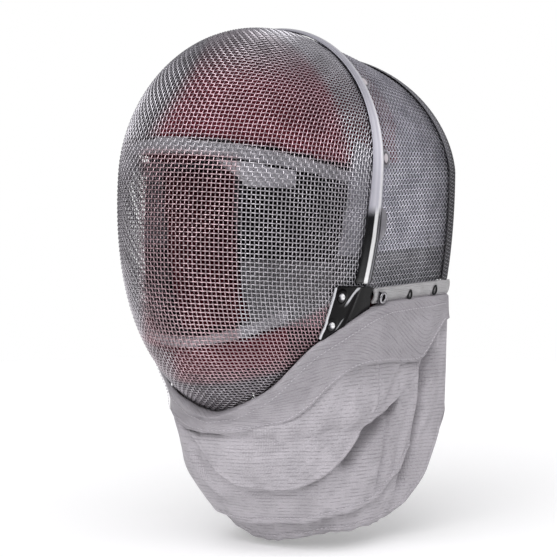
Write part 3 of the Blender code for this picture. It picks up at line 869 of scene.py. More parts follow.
@dataclass(frozen=True)
class Clip(Finish):
    """A dull clip with a painted highlight in its domed middle inside a painted shadow ring."""

    def paint(self, shader: Shader) -> dict:
        """Painted highlight and painted shadow in rings round the middle of the share map.

        Args:
            shader: the material's shader.

        Returns:
            The sockets.
        """
        cloud = shader.noise(500.0, shader.place(), 3.0)
        beside, back = (shader.share(0) - 0.5) * 2.0, shader.share(1) - 0.30
        ring = (beside ** 2 + (back * 1.7) ** 2) ** 0.5 + (cloud - 0.5) * 0.12
        tone = shader.stops(ring, (
            (0.0, (0.74, 0.68, 0.71)), (0.48, (0.66, 0.61, 0.64)), (0.60, (0.10, 0.095, 0.105)),
            (0.72, (0.12, 0.115, 0.125)), (0.84, (0.30, 0.29, 0.32)), (1.0, (0.34, 0.33, 0.36))))
        return {"Base Color": tone, "Roughness": cloud * 0.12 + 0.34, "Metallic": 0.3,
                "Normal": shader.bump(cloud, 0.00003)}


@dataclass(frozen=True)
class Backing(Finish):
    """Grey backing cloth with painted shade: dark below a height, with paler patches there, and darker toward
    the top.
    """

    colour: Colour = (0.165, 0.162, 0.182)
    shade: Colour = (0.095, 0.093, 0.105)
    dark: Colour = (0.022, 0.021, 0.024)
    pale: Colour = (0.16, 0.155, 0.165)
    front: Colour = (0.42, 0.41, 0.46)
    change: float = -0.1425

    def paint(self, shader: Shader) -> dict:
        """Clouds of grey, darker toward the top as painted shade, and painted dark shade with patches below.

        Args:
            shader: the material's shader.

        Returns:
            The sockets.
        """
        place = shader.place()
        cloud = shader.noise(60.0, place, 3.0)
        patch = shader.ramp(shader.noise(48.0, shader.stretch(place, (1.0, 1.0, 1.6)), 1.0), 0.56, 0.62)
        height = shader.axis(place, 2)
        # Painted shade: dark below the height, with paler patches.
        low = shader.ramp(height + (cloud - 0.5) * 0.002, self.change + 0.0008, self.change - 0.0008)
        above = shader.mix(shader.ramp(cloud, 0.3, 0.7), self.shade, self.colour)
        # Painted shade: darker toward the top.
        above = shader.mix(shader.ramp(height, -0.075, 0.020) * 0.5, above, self.dark)
        ahead = shader.ramp(shader.share(1), 0.36, 0.28) * shader.ramp(height, -0.050, -0.090)
        above = shader.mix(ahead, above, self.front)
        return {
            "Base Color": shader.mix(low, above, shader.mix(patch, self.dark, self.pale)),
            "Roughness": 0.9,
            "Normal": shader.bump(shader.noise(1400.0, place, 2.0), 0.0001),
        }


@dataclass(frozen=True)
class Edging(Finish):
    """Dark rolled binding with the mesh's flecks on it, paler toward the crown."""

    dark: Colour = (0.020, 0.019, 0.022)
    fleck: Colour = (0.24, 0.235, 0.255)
    crown: Colour = (0.25, 0.245, 0.27)

    def paint(self, shader: Shader) -> dict:
        """Slanted flecks in rows.

        Args:
            shader: the material's shader.

        Returns:
            The sockets.
        """
        place = shader.place()
        along, across = shader.axis(place, 2), shader.share(1)
        row = shader.wave(along + across * 0.012, 0.0028) * shader.wave(along - across * 0.02, 0.0021)
        grain = shader.noise(900.0, place, 3.0, 0.6)
        tone = shader.ramp(row * 0.8 + grain * 0.5, 0.35, 0.75)
        lined = shader.ramp(across, 0.30, 0.18)
        low = shader.mix(tone * 0.8, self.dark, self.fleck)
        high = shader.mix(tone, (0.13, 0.128, 0.14), self.crown)
        crown = shader.ramp(along, -0.100, -0.050)
        return {
            "Base Color": shader.mix(crown * lined, low, high),
            "Roughness": 0.55,
            "Normal": shader.bump(tone, 0.0004),
        }


class Finishes(Enum):
    """Every finish on the mask, named as the record's slots are."""

    # Face wire: its pink colour and the colours of its zones are painted reflection of the lining behind it.
    FACE_WIRE = Wire(
        "face_wire", (0.63, 0.45, 0.50), (0.47, 0.335, 0.372), 0.28, 0.2, 1400.0, 0.00002,
        painted_light_zones=((-0.0991, -0.272, (0.52, 0.50, 0.53)), (-0.1135, -0.296, (0.66, 0.635, 0.67)),
               (-0.1439, 0.435, (0.61, 0.435, 0.47)), (-0.1935, 0.318, (0.50, 0.47, 0.50))),
        cheek=(0.61, 0.455, 0.485), beside=(-0.075, -0.061, (0.70, 0.685, 0.725)),
        crown=(0.62, 0.605, 0.64), jaw=(0.60, 0.545, 0.575))
    # Side wire: darker below the zone's plane and toward the rear and the top, as painted shade.
    SIDE_WIRE = Wire(
        "side_wire", (0.90, 0.88, 0.96), (0.62, 0.61, 0.68), 0.36, 0.2, 1400.0, 0.00002,
        painted_light_zones=((-0.1425, 0.0, (0.60, 0.59, 0.63)),), blend=0.001,
        painted_shade_fades=((1, 0.015, 0.066, 0.50), (2, -0.075, 0.020, 0.38)))
    # Rim: painted highlights and a bright painted ridge above; below, black with a white painted reflection
    # streak.
    RIM_STEEL = Banded("rim_steel", (
        (0.00, (0.34, 0.335, 0.38)), (0.08, (0.60, 0.59, 0.66)), (0.34, (0.78, 0.77, 0.84)),
        (0.50, (0.60, 0.59, 0.66)), (0.60, (0.98, 0.97, 1.0)), (0.74, (0.99, 0.98, 1.0)),
        (0.86, (0.55, 0.545, 0.60)), (0.97, (0.05, 0.05, 0.06))), (
        (0.00, (0.008, 0.008, 0.009)), (0.40, (0.010, 0.010, 0.012)), (0.44, (1.0, 1.0, 1.0)),
        (0.56, (1.0, 1.0, 1.0)), (0.60, (0.03, 0.03, 0.035)), (0.68, (0.24, 0.24, 0.26)),
        (0.78, (0.22, 0.22, 0.24)), (0.84, (0.008, 0.008, 0.009))))
    CLIP_STEEL = Clip("clip_steel")
    DULL_STEEL = Metal("dull_steel", (0.34, 0.33, 0.36), (0.22, 0.215, 0.235), 0.34, 0.12, 700.0, 0.00001,
                       0.4)
    EYELET_STEEL = Metal("eyelet_steel", (0.42, 0.41, 0.43), (0.26, 0.255, 0.27), 0.26, 0.12, 700.0, 0.00001)
    RIVET_STEEL = Domed("rivet_steel", ((-0.0350, -0.0860), (-0.0390, -0.1063)))
    DARK_STEEL = Metal("dark_steel", (0.10, 0.095, 0.105), (0.07, 0.066, 0.075), 0.16, 0.1, 700.0, 0.00001)
    PLATE_LACQUER = Lacquer("plate_lacquer")
    EDGING = Edging("edging")
    BIB_CLOTH = Cloth("bib_cloth", (0.56, 0.53, 0.565), (0.27, 0.256, 0.275), rib=0.0027, depth=0.0003,
                      contrast=0.23, level=True)
    BIAS_CLOTH = Cloth("bias_cloth", (0.465, 0.44, 0.47), (0.23, 0.217, 0.235), rib=0.0021,
                       contrast=0.20, sway=0.003, turn=math.radians(24))
    TRIM_CLOTH = Cloth("trim_cloth", (0.52, 0.51, 0.515), (0.31, 0.305, 0.31), rib=0.0013)
    RED_LINING = Nap("red_lining", (0.175, 0.022, 0.034), (0.085, 0.011, 0.018), sheen=0.0, gloss=0.1,
                      crown=(0.050, 0.044, 0.050))
    # Near-black inner faces of the bib's layers: painted shade inside the bib.
    BIB_LINING = Nap("bib_lining", (0.055, 0.040, 0.045), (0.030, 0.022, 0.025), 900.0, sheen=0.0, gloss=0.1)
    GREY_BINDING = Nap("grey_binding", (0.66, 0.65, 0.69), (0.48, 0.47, 0.51), 900.0)
    SIDE_BACKING = Backing("side_backing")
    STRAP = Cloth("strap", (0.70, 0.72, 0.76), (0.46, 0.475, 0.50), rib=0.0022, rough=0.8)
    DARK_CLOTH = Nap("dark_cloth", (0.012, 0.012, 0.014), (0.006, 0.006, 0.007), 1500.0, 0.0003, 0.9, 0.0)
    THREAD = Nap("thread", (0.60, 0.575, 0.61), (0.50, 0.48, 0.51), 2500.0, 0.0001, 0.8, 0.0)

    def make(self) -> bpy.types.Material:
        """The finish's material."""
        return self.value.make()


# ---------------------------------------------------------------- meshes


class Workshop:
    """Makes meshes in the row's frame and hands finished pieces to the frame."""

    @staticmethod
    def mesh(name: str, points: Points, faces: Sequence[Sequence[int]] = (),
             edges: Sequence[Sequence[int]] = ()) -> bpy.types.Object:
        """Object from points of the form's frame.

        Args:
            name: the object's name.
            points: its points.
            faces: its faces.
            edges: its loose edges.

        Returns:
            The object, linked to the scene.
        """
        mesh = bpy.data.meshes.new(name)
        mesh.from_pydata((np.asarray(points).reshape(-1, 3) - HEAD_SEAT).tolist(), list(edges), list(faces))
        mesh.validate()
        piece = bpy.data.objects.new(name, mesh)
        bpy.context.scene.collection.objects.link(piece)
        return piece

    @staticmethod
    def grid(name: str, surface: Surface, columns: int, rows: int, inside: Points) -> bpy.types.Object:
        """Open grid with a cloth map in metres and a share map, its faces pointing away from a point.

        Args:
            name: the object's name.
            surface: points from u and v, each 0 to 1.
            columns: cells along u.
            rows: cells along v.
            inside: a point that the faces look away from.

        Returns:
            The object.
        """
        u, v = np.meshgrid(np.linspace(0, 1, columns + 1), np.linspace(0, 1, rows + 1), indexing="ij")
        points = surface(u, v)
        number = np.arange(points[..., 0].size).reshape(u.shape)
        quads = np.stack((number[:-1, :-1], number[1:, :-1], number[1:, 1:], number[:-1, 1:]), -1)
        quads = quads.reshape(-1, 4)
        corners = points.reshape(-1, 3)[quads]
        normal = np.cross(corners[:, 2] - corners[:, 0], corners[:, 3] - corners[:, 1])
        if ((corners.mean(1) - inside) * normal).sum() < 0:
            quads = quads[:, ::-1]
        piece = Workshop.mesh(name, points, quads.tolist())
        across = np.linalg.norm(np.diff(points, axis=0), axis=-1).mean(1)
        along = np.linalg.norm(np.diff(points, axis=1), axis=-1).mean(0)
        flat = np.stack(np.meshgrid(np.concatenate(([0], np.cumsum(across))),
                                    np.concatenate(([0], np.cumsum(along))), indexing="ij"), -1)
        order = np.empty(len(piece.data.loops), np.int32)
        piece.data.loops.foreach_get("vertex_index", order)
        for label, places in (("cloth", flat), ("share", np.stack((u, v), -1))):
            layer = piece.data.uv_layers.new(name=label)
            layer.data.foreach_set("uv", places.reshape(-1, 2)[order].astype(np.float32).ravel())
        piece.data.shade_smooth()
        return piece

    @staticmethod
    def wall(piece: bpy.types.Object, thickness: float, round_edge: float) -> None:
        """Gives a grid its wall, inward from its outer face, and rounds its edges.

        Args:
            piece: the grid.
            thickness: the wall's thickness.
            round_edge: width of the rounding; 0 leaves the edges sharp.
        """
        solid = piece.modifiers.new("wall", "SOLIDIFY")
        solid.thickness, solid.offset, solid.use_even_offset = thickness, -1.0, False
        if round_edge:
            bevel = piece.modifiers.new("round_edge", "BEVEL")
            bevel.width, bevel.segments, bevel.limit_method = round_edge, 2, "ANGLE"
            bevel.angle_limit = math.radians(50)

    @staticmethod
    def line(piece: bpy.types.Object, outer: Finishes, inner: Finishes) -> None:
        """Gives a walled grid one finish outside and another inside.

        Args:
            piece: the grid.
            outer: the finish outside.
            inner: the finish inside.
        """
        for finish in (outer, inner):
            piece.data.materials.append(finish.make())
        piece.modifiers["wall"].material_offset = 1

    @staticmethod
    def bake(piece: bpy.types.Object) -> None:
        """Turns what the modifiers give into a plain mesh.

        Args:
            piece: the object.
        """
        graph = bpy.context.evaluated_depsgraph_get()
        graph.update()
        baked = bpy.data.meshes.new_from_object(piece.evaluated_get(graph), preserve_all_data_layers=True,
                                                depsgraph=graph)
        piece.modifiers.clear()
        old = piece.data
        piece.data = baked
        baked.name = piece.name
        bpy.data.meshes.remove(old)

    @staticmethod
    def finish(piece: bpy.types.Object, finish: Optional[Finishes], slot: str,
               nodes: Iterable[str] = ()) -> None:
        """Dresses a piece and gives it to the root body.

        Args:
            piece: the finished piece.
            finish: its material; None keeps the ones that it has.
            slot: the record's slot of its finish; not used.
            nodes: CAD nodes that it stands for.
        """
        if finish is not None:
            piece.data.materials.clear()
            piece.data.materials.append(finish.make())
        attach(piece, "root")
        if nodes:
            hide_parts(*nodes)
        piece.data.calc_loop_triangles()
        log.info("%s: %d triangles", piece.name, len(piece.data.loop_triangles))

    @staticmethod
    def walled(name: str, surface: Surface, cells: tuple[int, int], thickness: float, finish: Finishes,
               slot: str, nodes: Iterable[str] = (), *, inside: Points = CENTRE, round_edge: float = 0.0,
               lining: Optional[Finishes] = None, crease: Optional[np.ndarray] = None) -> bpy.types.Object:
        """Makes a finished piece from a surface with a wall.

        Args:
            name: the piece's name.
            surface: points of its outer face from u and v, each 0 to 1.
            cells: cells along u and along v.
            thickness: the wall's thickness.
            finish: its finish.
            slot: the record's slot of its finish.
            nodes: CAD nodes that it stands for.
            inside: a point that the outer face looks away from.
            round_edge: width of its rounded edges; 0 leaves them sharp.
            lining: the finish of its inner face, where that differs.
            crease: depth of the creases and painted shadows at the grid points, which the cloth darkens by as
                painted shade.

        Returns:
            The piece.
        """
        piece = Workshop.grid(name, surface, *cells, inside)
        if crease is not None:
            set_attribute(piece, "crease", crease)
        Workshop.wall(piece, thickness, round_edge)
        if lining:
            Workshop.line(piece, finish, lining)
        Workshop.bake(piece)
        Workshop.finish(piece, None if lining else finish, slot, nodes)
        return piece


class NodeTree:
    """A Geometry Nodes tree with named inputs."""

    def __init__(self, name: str, inputs: dict[str, str]) -> None:
        """Makes the tree.

        Args:
            name: the tree's name.
            inputs: socket type by input name.
        """
        self.tree = bpy.data.node_groups.new(name, "GeometryNodeTree")
        interface = self.tree.interface
        interface.new_socket("Geometry", in_out="INPUT", socket_type="NodeSocketGeometry")
        for label, kind in inputs.items():
            interface.new_socket(label, in_out="INPUT", socket_type=kind)
        interface.new_socket("Geometry", in_out="OUTPUT", socket_type="NodeSocketGeometry")
        self.source = self.tree.nodes.new("NodeGroupInput")

    def add(self, kind: str, inputs: Optional[dict] = None, **settings: object) -> bpy.types.Node:
        """Adds a node, its settings first.

        Args:
            kind: the node's type.
            inputs: a value, an output socket, or an input's name after "=", by socket name or number.
            settings: the node's own settings.

        Returns:
            The node.
        """
        node = self.tree.nodes.new(kind)
        for name, value in settings.items():
            setattr(node, name, value)
        for name, value in (inputs or {}).items():
            if isinstance(value, str) and value.startswith("="):
                value = self.source.outputs[value[1:]]
            if isinstance(value, bpy.types.Node):
                value = value.outputs[0]
            if isinstance(value, bpy.types.NodeSocket):
                self.tree.links.new(value, node.inputs[name])
            else:
                node.inputs[name].default_value = value
        return node

    def close(self, last: bpy.types.Node) -> None:
        """Ends the tree in Realize Instances and Set Material.

        Args:
            last: the node that gives the geometry.
        """
        real = self.add("GeometryNodeRealizeInstances", {0: last})
        dressed = self.add("GeometryNodeSetMaterial", {0: real, "Material": "=Material"})
        self.add("NodeGroupOutput", {0: dressed})

    def run(self, piece: bpy.types.Object, values: dict[str, object]) -> None:
        """Runs the tree on a piece and leaves a plain mesh.

        Args:
            piece: the object.
            values: the inputs by name.
        """
        modifier = piece.modifiers.new(self.tree.name, "NODES")
        modifier.node_group = self.tree
        for item in self.tree.interface.items_tree:
            if item.in_out == "INPUT" and item.name in values:
                modifier[item.identifier] = values[item.name]
        Workshop.bake(piece)


def wire_tree() -> NodeTree:
    """Tree that turns polylines into crimped round wire."""
    nodes = NodeTree("crimped_wire", {"Wire radius": "NodeSocketFloat", "Crimp": "NodeSocketFloat",
                                      "Sides": "NodeSocketInt", "Material": "NodeSocketMaterial"})
    curve = nodes.add("GeometryNodeMeshToCurve", {0: "=Geometry"})
    outward = nodes.add("GeometryNodeInputNamedAttribute", {"Name": "outward"}, data_type="FLOAT_VECTOR")
    over = nodes.add("GeometryNodeInputNamedAttribute", {"Name": "over"}, data_type="FLOAT")
    height = nodes.add("ShaderNodeMath", {0: over, 1: "=Crimp"}, operation="MULTIPLY")
    offset = nodes.add("ShaderNodeVectorMath", {0: outward, "Scale": height}, operation="SCALE")
    crimped = nodes.add("GeometryNodeSetPosition", {0: curve, "Offset": offset})
    circle = nodes.add("GeometryNodeCurvePrimitiveCircle", {"Resolution": "=Sides", "Radius": "=Wire radius"})
    tube = nodes.add("GeometryNodeCurveToMesh", {0: crimped, 1: circle, "Fill Caps": True})
    smooth = nodes.add("GeometryNodeSetShadeSmooth", {0: tube, "Shade Smooth": True})
    nodes.close(smooth)
    return nodes


def repeat_tree() -> NodeTree:
    """Tree that sets a small part on every point, along the attributes "along" and "outward"."""
    nodes = NodeTree("repeat_on_points", {"Part": "NodeSocketObject", "Scale": "NodeSocketVector",
                                          "Material": "NodeSocketMaterial"})
    part = nodes.add("GeometryNodeObjectInfo", {"Object": "=Part"})
    along = nodes.add("GeometryNodeInputNamedAttribute", {"Name": "along"}, data_type="FLOAT_VECTOR")
    outward = nodes.add("GeometryNodeInputNamedAttribute", {"Name": "outward"}, data_type="FLOAT_VECTOR")
    turned = nodes.add("FunctionNodeAlignRotationToVector", {"Vector": outward}, axis="Z")
    laid = nodes.add("FunctionNodeAlignRotationToVector", {"Rotation": turned, "Vector": along},
                     axis="X", pivot_axis="Z")
    placed = nodes.add("GeometryNodeInstanceOnPoints", {
        "Points": "=Geometry", "Instance": part.outputs["Geometry"], "Rotation": laid, "Scale": "=Scale"})
    nodes.close(placed)
    return nodes


def set_attribute(piece: bpy.types.Object, name: str, values: np.ndarray) -> None:
    """Stores a number or a vector on every point.

    Args:
        piece: the object.
        name: the attribute's name.
        values: one row for each point.
    """
    kind, key = ("FLOAT_VECTOR", "vector") if values.ndim == 2 else ("FLOAT", "value")
    layer = piece.data.attributes.new(name, kind, "POINT")
    layer.data.foreach_set(key, values.astype(np.float32).ravel())


@dataclass
class WireBundle:
    """Polylines of one piece of woven wire."""

    name: str
    points: list[Points] = field(default_factory=list)
    outward: list[Points] = field(default_factory=list)
    over: list[np.ndarray] = field(default_factory=list)

    def add(self, line: Points, outward: Points, over: np.ndarray) -> None:
        """Adds one wire, its crossings and the points halfway between them.

        Args:
            line: the wire's points at its crossings and ends.
            outward: the form's outward normals there.
            over: 1 where it passes outside the other wire, -1 inside, 0 at a cut end.
        """
        count = 2 * len(line) - 1
        full, normals, heights = np.empty((count, 3)), np.empty((count, 3)), np.zeros(count)
        full[::2], full[1::2] = line, (line[1:] + line[:-1]) / 2
        normals[::2], normals[1::2] = outward, unit(outward[1:] + outward[:-1])
        heights[::2] = over
        self.points.append(full)
        self.outward.append(normals)
        self.over.append(heights)

    def weave(self, tree: NodeTree, radius: float, crimp: float, sides: int,
              finish: Finishes, slot: str, nodes: Iterable[str] = ()) -> bpy.types.Object:
        """Makes the wires and finishes the piece.

        Args:
            tree: the wire tree.
            radius: the wire's radius.
            crimp: how far a wire's centre leaves the middle surface.
            sides: sides of the wire's section.
            finish: its finish.
            slot: its slot.
            nodes: CAD nodes that it stands for.

        Returns:
            The piece.
        """
        starts = np.cumsum([0] + [len(line) for line in self.points])
        edges = [(start + k, start + k + 1) for start, line in zip(starts, self.points)
                 for k in range(len(line) - 1)]
        piece = Workshop.mesh(self.name, np.concatenate(self.points), (), edges)
        set_attribute(piece, "outward", np.concatenate(self.outward))
        set_attribute(piece, "over", np.concatenate(self.over))
        tree.run(piece, {"Wire radius": radius, "Crimp": crimp, "Sides": sides, "Material": finish.make()})
        Workshop.finish(piece, None, slot, nodes)
        return piece


def cut_runs(points: Points, outside: np.ndarray, parity: np.ndarray) -> list[tuple[Points, np.ndarray]]:
    """Cuts a line of crossings at a border.

    Args:
        points: the crossings along the line.
        outside: signed distance to the border at each, below 0 inside.
        parity: 1 or -1 at each crossing.

    Returns:
        The stretches inside, each with its ends on the border, and their parities.
    """
    inside = outside < 0
    runs: list[tuple[Points, np.ndarray]] = []
    start = None
    for k in range(len(points) + 1):
        here = k < len(points) and inside[k]
        if here and start is None:
            start = k
        elif not here and start is not None:
            line, over = [points[start:k]], [parity[start:k]]
            if start > 0:
                t = outside[start] / (outside[start] - outside[start - 1])
                line.insert(0, (points[start] + t * (points[start - 1] - points[start]))[None])
                over.insert(0, np.zeros(1))
            if k < len(points):
                t = outside[k - 1] / (outside[k - 1] - outside[k])
                line.append((points[k - 1] + t * (points[k] - points[k - 1]))[None])
                over.append(np.zeros(1))
            if k - start > 1:
                runs.append((np.concatenate(line), np.concatenate(over)))
            start = None
    return runs


@dataclass
class FaceNet:
    """Woven wire of the face, pressed into the dome: every cell keeps its four equal sides."""

    pitch: float = 0.00315
    wire_radius: float = 0.00047
    crimp: float = 0.00046
    sides: int = 5
    inset: float = 0.0009
    chin_edge: float = -0.1770
    beside: int = 62
    above: int = 60
    below: int = 95

    def walk(self, start: Points, normal: Points, count: int, direction: Points) -> Points:
        """Equal steps along the dome in a plane.

        Args:
            start: the first point.
            normal: the plane's normal.
            count: how many steps.
            direction: which way to set off.

        Returns:
            The points, the start among them.
        """
        normal = unit(np.asarray(normal, float))
        points, heading = [start], np.asarray(direction, float)
        for _ in range(count):
            here = points[-1]
            there = here + heading * self.pitch
            for _ in range(12):
                rows = np.array((FORM.slope(there), normal, 2 * (there - here)))
                miss = np.array((FORM.level_set(there), normal @ (there - start),
                                 (there - here) @ (there - here) - self.pitch**2))
                there = there - np.linalg.solve(rows, miss)
            heading = (there - here) / self.pitch
            points.append(there)
        return np.array(points)

    def settle(self, row: Points, column: Points) -> Points:
        """Fills a quarter of the net from its first row and column.

        Args:
            row: crossings along the level wire.
            column: crossings along the centre wire.

        Returns:
            The quarter's crossings.
        """
        wide, tall = len(row) - 1, len(column) - 1
        net = np.full((wide + 1, tall + 1, 3), np.nan)
        net[:, 0], net[0, :] = row, column
        for diagonal in range(2, wide + tall + 1):
            i = np.arange(max(1, diagonal - tall), min(wide, diagonal - 1) + 1)
            j = diagonal - i
            beside, below = net[i - 1, j], net[i, j - 1]
            point = beside + below - net[i - 1, j - 1]
            for _ in range(3):
                slope = FORM.slope(point)
                fix = FORM.level_set(point) / np.maximum((slope * slope).sum(-1), 1e-12)
                point = point - fix[..., None] * slope
            for _ in range(10):
                rows = np.stack((FORM.slope(point), 2 * (point - beside), 2 * (point - below)), -2)
                miss = np.stack((FORM.level_set(point), ((point - beside) ** 2).sum(-1) - self.pitch**2,
                                 ((point - below) ** 2).sum(-1) - self.pitch**2), -1)
                move = np.zeros_like(point)
                sound = np.abs(np.linalg.det(rows)) > 1e-12
                move[sound] = np.linalg.solve(rows[sound], miss[sound][..., None])[..., 0]
                size = np.linalg.norm(move, axis=-1, keepdims=True)
                point = point - move * np.minimum(1.0, self.pitch * 0.5 / np.maximum(size, 1e-12))
            net[i, j] = point
        return net

    def crossings(self) -> Points:
        """Crossings of the whole net, from the right to the left and from the chin to the crown."""
        front = np.array((0.0, -FORM.face_depth, FORM.rim_slope * FORM.face_depth))
        toward = np.array((0.0, -1.0, FORM.rim_slope))
        for _ in range(20):
            front = front - toward * FORM.level_set(front) / (FORM.slope(front) @ toward)
        row = self.walk(front, (0, FORM.rim_slope, 1), self.beside, (1, 0, 0))
        upper = self.settle(row, self.walk(front, (1, 0, 0), self.above, (0, 0, 1)))
        lower = self.settle(row, self.walk(front, (1, 0, 0), self.below, (0, 0, -1)))
        half = np.concatenate((lower[:, :0:-1], upper), 1)
        return np.concatenate((half[:0:-1] * (-1, 1, 1), half), 0)

    def build(self, tree: NodeTree) -> None:
        """Makes the face's wires in four pieces.

        Args:
            tree: the wire tree.
        """
        net = self.crossings()
        outward = unit(FORM.slope(net))
        middle = net - outward * self.inset
        outside = np.maximum(net[..., 1] - FORM.jaw_y(net[..., 2]) + 0.0004, self.chin_edge - net[..., 2])
        outside = np.where(np.isnan(outside), 1.0, outside)
        i, j = np.indices(outside.shape)
        parity = np.where((i + j) % 2, 1.0, -1.0)
        bundles = {name: WireBundle(name) for name in
                   ("face_warp_right", "face_warp_left", "face_weft_lower", "face_weft_upper")}
        for k in range(net.shape[0]):
            bundle = bundles["face_warp_left" if k >= self.beside else "face_warp_right"]
            self.add_line(bundle, middle[k], outside[k], parity[k])
        for k in range(net.shape[1]):
            bundle = bundles["face_weft_upper" if k >= self.below else "face_weft_lower"]
            self.add_line(bundle, middle[:, k], outside[:, k], -parity[:, k])
        for bundle in bundles.values():
            nodes = ("face_mesh",) if bundle.name == "face_warp_left" else ()
            bundle.weave(tree, self.wire_radius, self.crimp, self.sides,
                         Finishes.FACE_WIRE, "face_wire", nodes)

    def add_line(self, bundle: WireBundle, points: Points, outside: np.ndarray, parity: np.ndarray) -> None:
        """Adds one wire's stretches to a bundle."""
        for line, over in cut_runs(points, outside, parity):
            bundle.add(line, unit(FORM.slope(line)), over)


@dataclass
class SideNet:
    """Woven wire of the side shell, cut on the bias between the rim and the rear edging."""

    pitch: float = 0.0028
    wire_radius: float = 0.00041
    crimp: float = 0.00045
    sides: int = 4
    inset: float = 0.0009
    mid_reach: float = 0.045
    low_turn: float = math.asin(-0.086 / 0.1974)

    def build(self, tree: NodeTree) -> None:
        """Makes the two families of wires.

        Args:
            tree: the wire tree.
        """
        turns = np.linspace(math.pi - self.low_turn, self.low_turn, 2001)
        track = FORM.skin(turns, np.full_like(turns, self.mid_reach))
        length = np.concatenate(([0], np.cumsum(np.linalg.norm(np.diff(track, axis=0), axis=-1))))
        step = self.pitch / math.sqrt(2)
        reach_max = float(FORM.shell_span(np.array(0.0))) + 0.01
        count = int((length[-1] + reach_max) / step / 2) + 2
        a, b = np.meshgrid(np.arange(0, 2 * count), np.arange(-count, count), indexing="ij")
        arc, reach = (a + b) * step, (a - b) * step
        turn = np.interp(arc, length, turns)
        span = FORM.shell_span(turn) - 0.0006
        outside = np.maximum.reduce((arc - length[-1], -arc, reach - span, 0.0006 - reach))
        middle = skin_lifted(turn, np.clip(reach, 0.0, span), -self.inset)
        normal = unit(skin_lifted(turn, np.clip(reach, 0.0, span), 0.001) - middle)
        parity = np.where((a + b) % 2, 1.0, -1.0)
        for name, axis, sign in (("side_wires_rising", 0, 1.0), ("side_wires_falling", 1, -1.0)):
            bundle = WireBundle(name)
            for k in range(outside.shape[axis]):
                pick = (k, slice(None)) if axis == 0 else (slice(None), k)
                for line, over in cut_runs(np.concatenate((middle[pick], normal[pick]), -1),
                                           outside[pick], sign * parity[pick]):
                    bundle.add(line[:, :3], unit(line[:, 3:]), over)
            nodes = ("side_mesh",) if axis == 0 else ()
            bundle.weave(tree, self.wire_radius, self.crimp, self.sides,
                         Finishes.SIDE_WIRE, "side_wire", nodes)


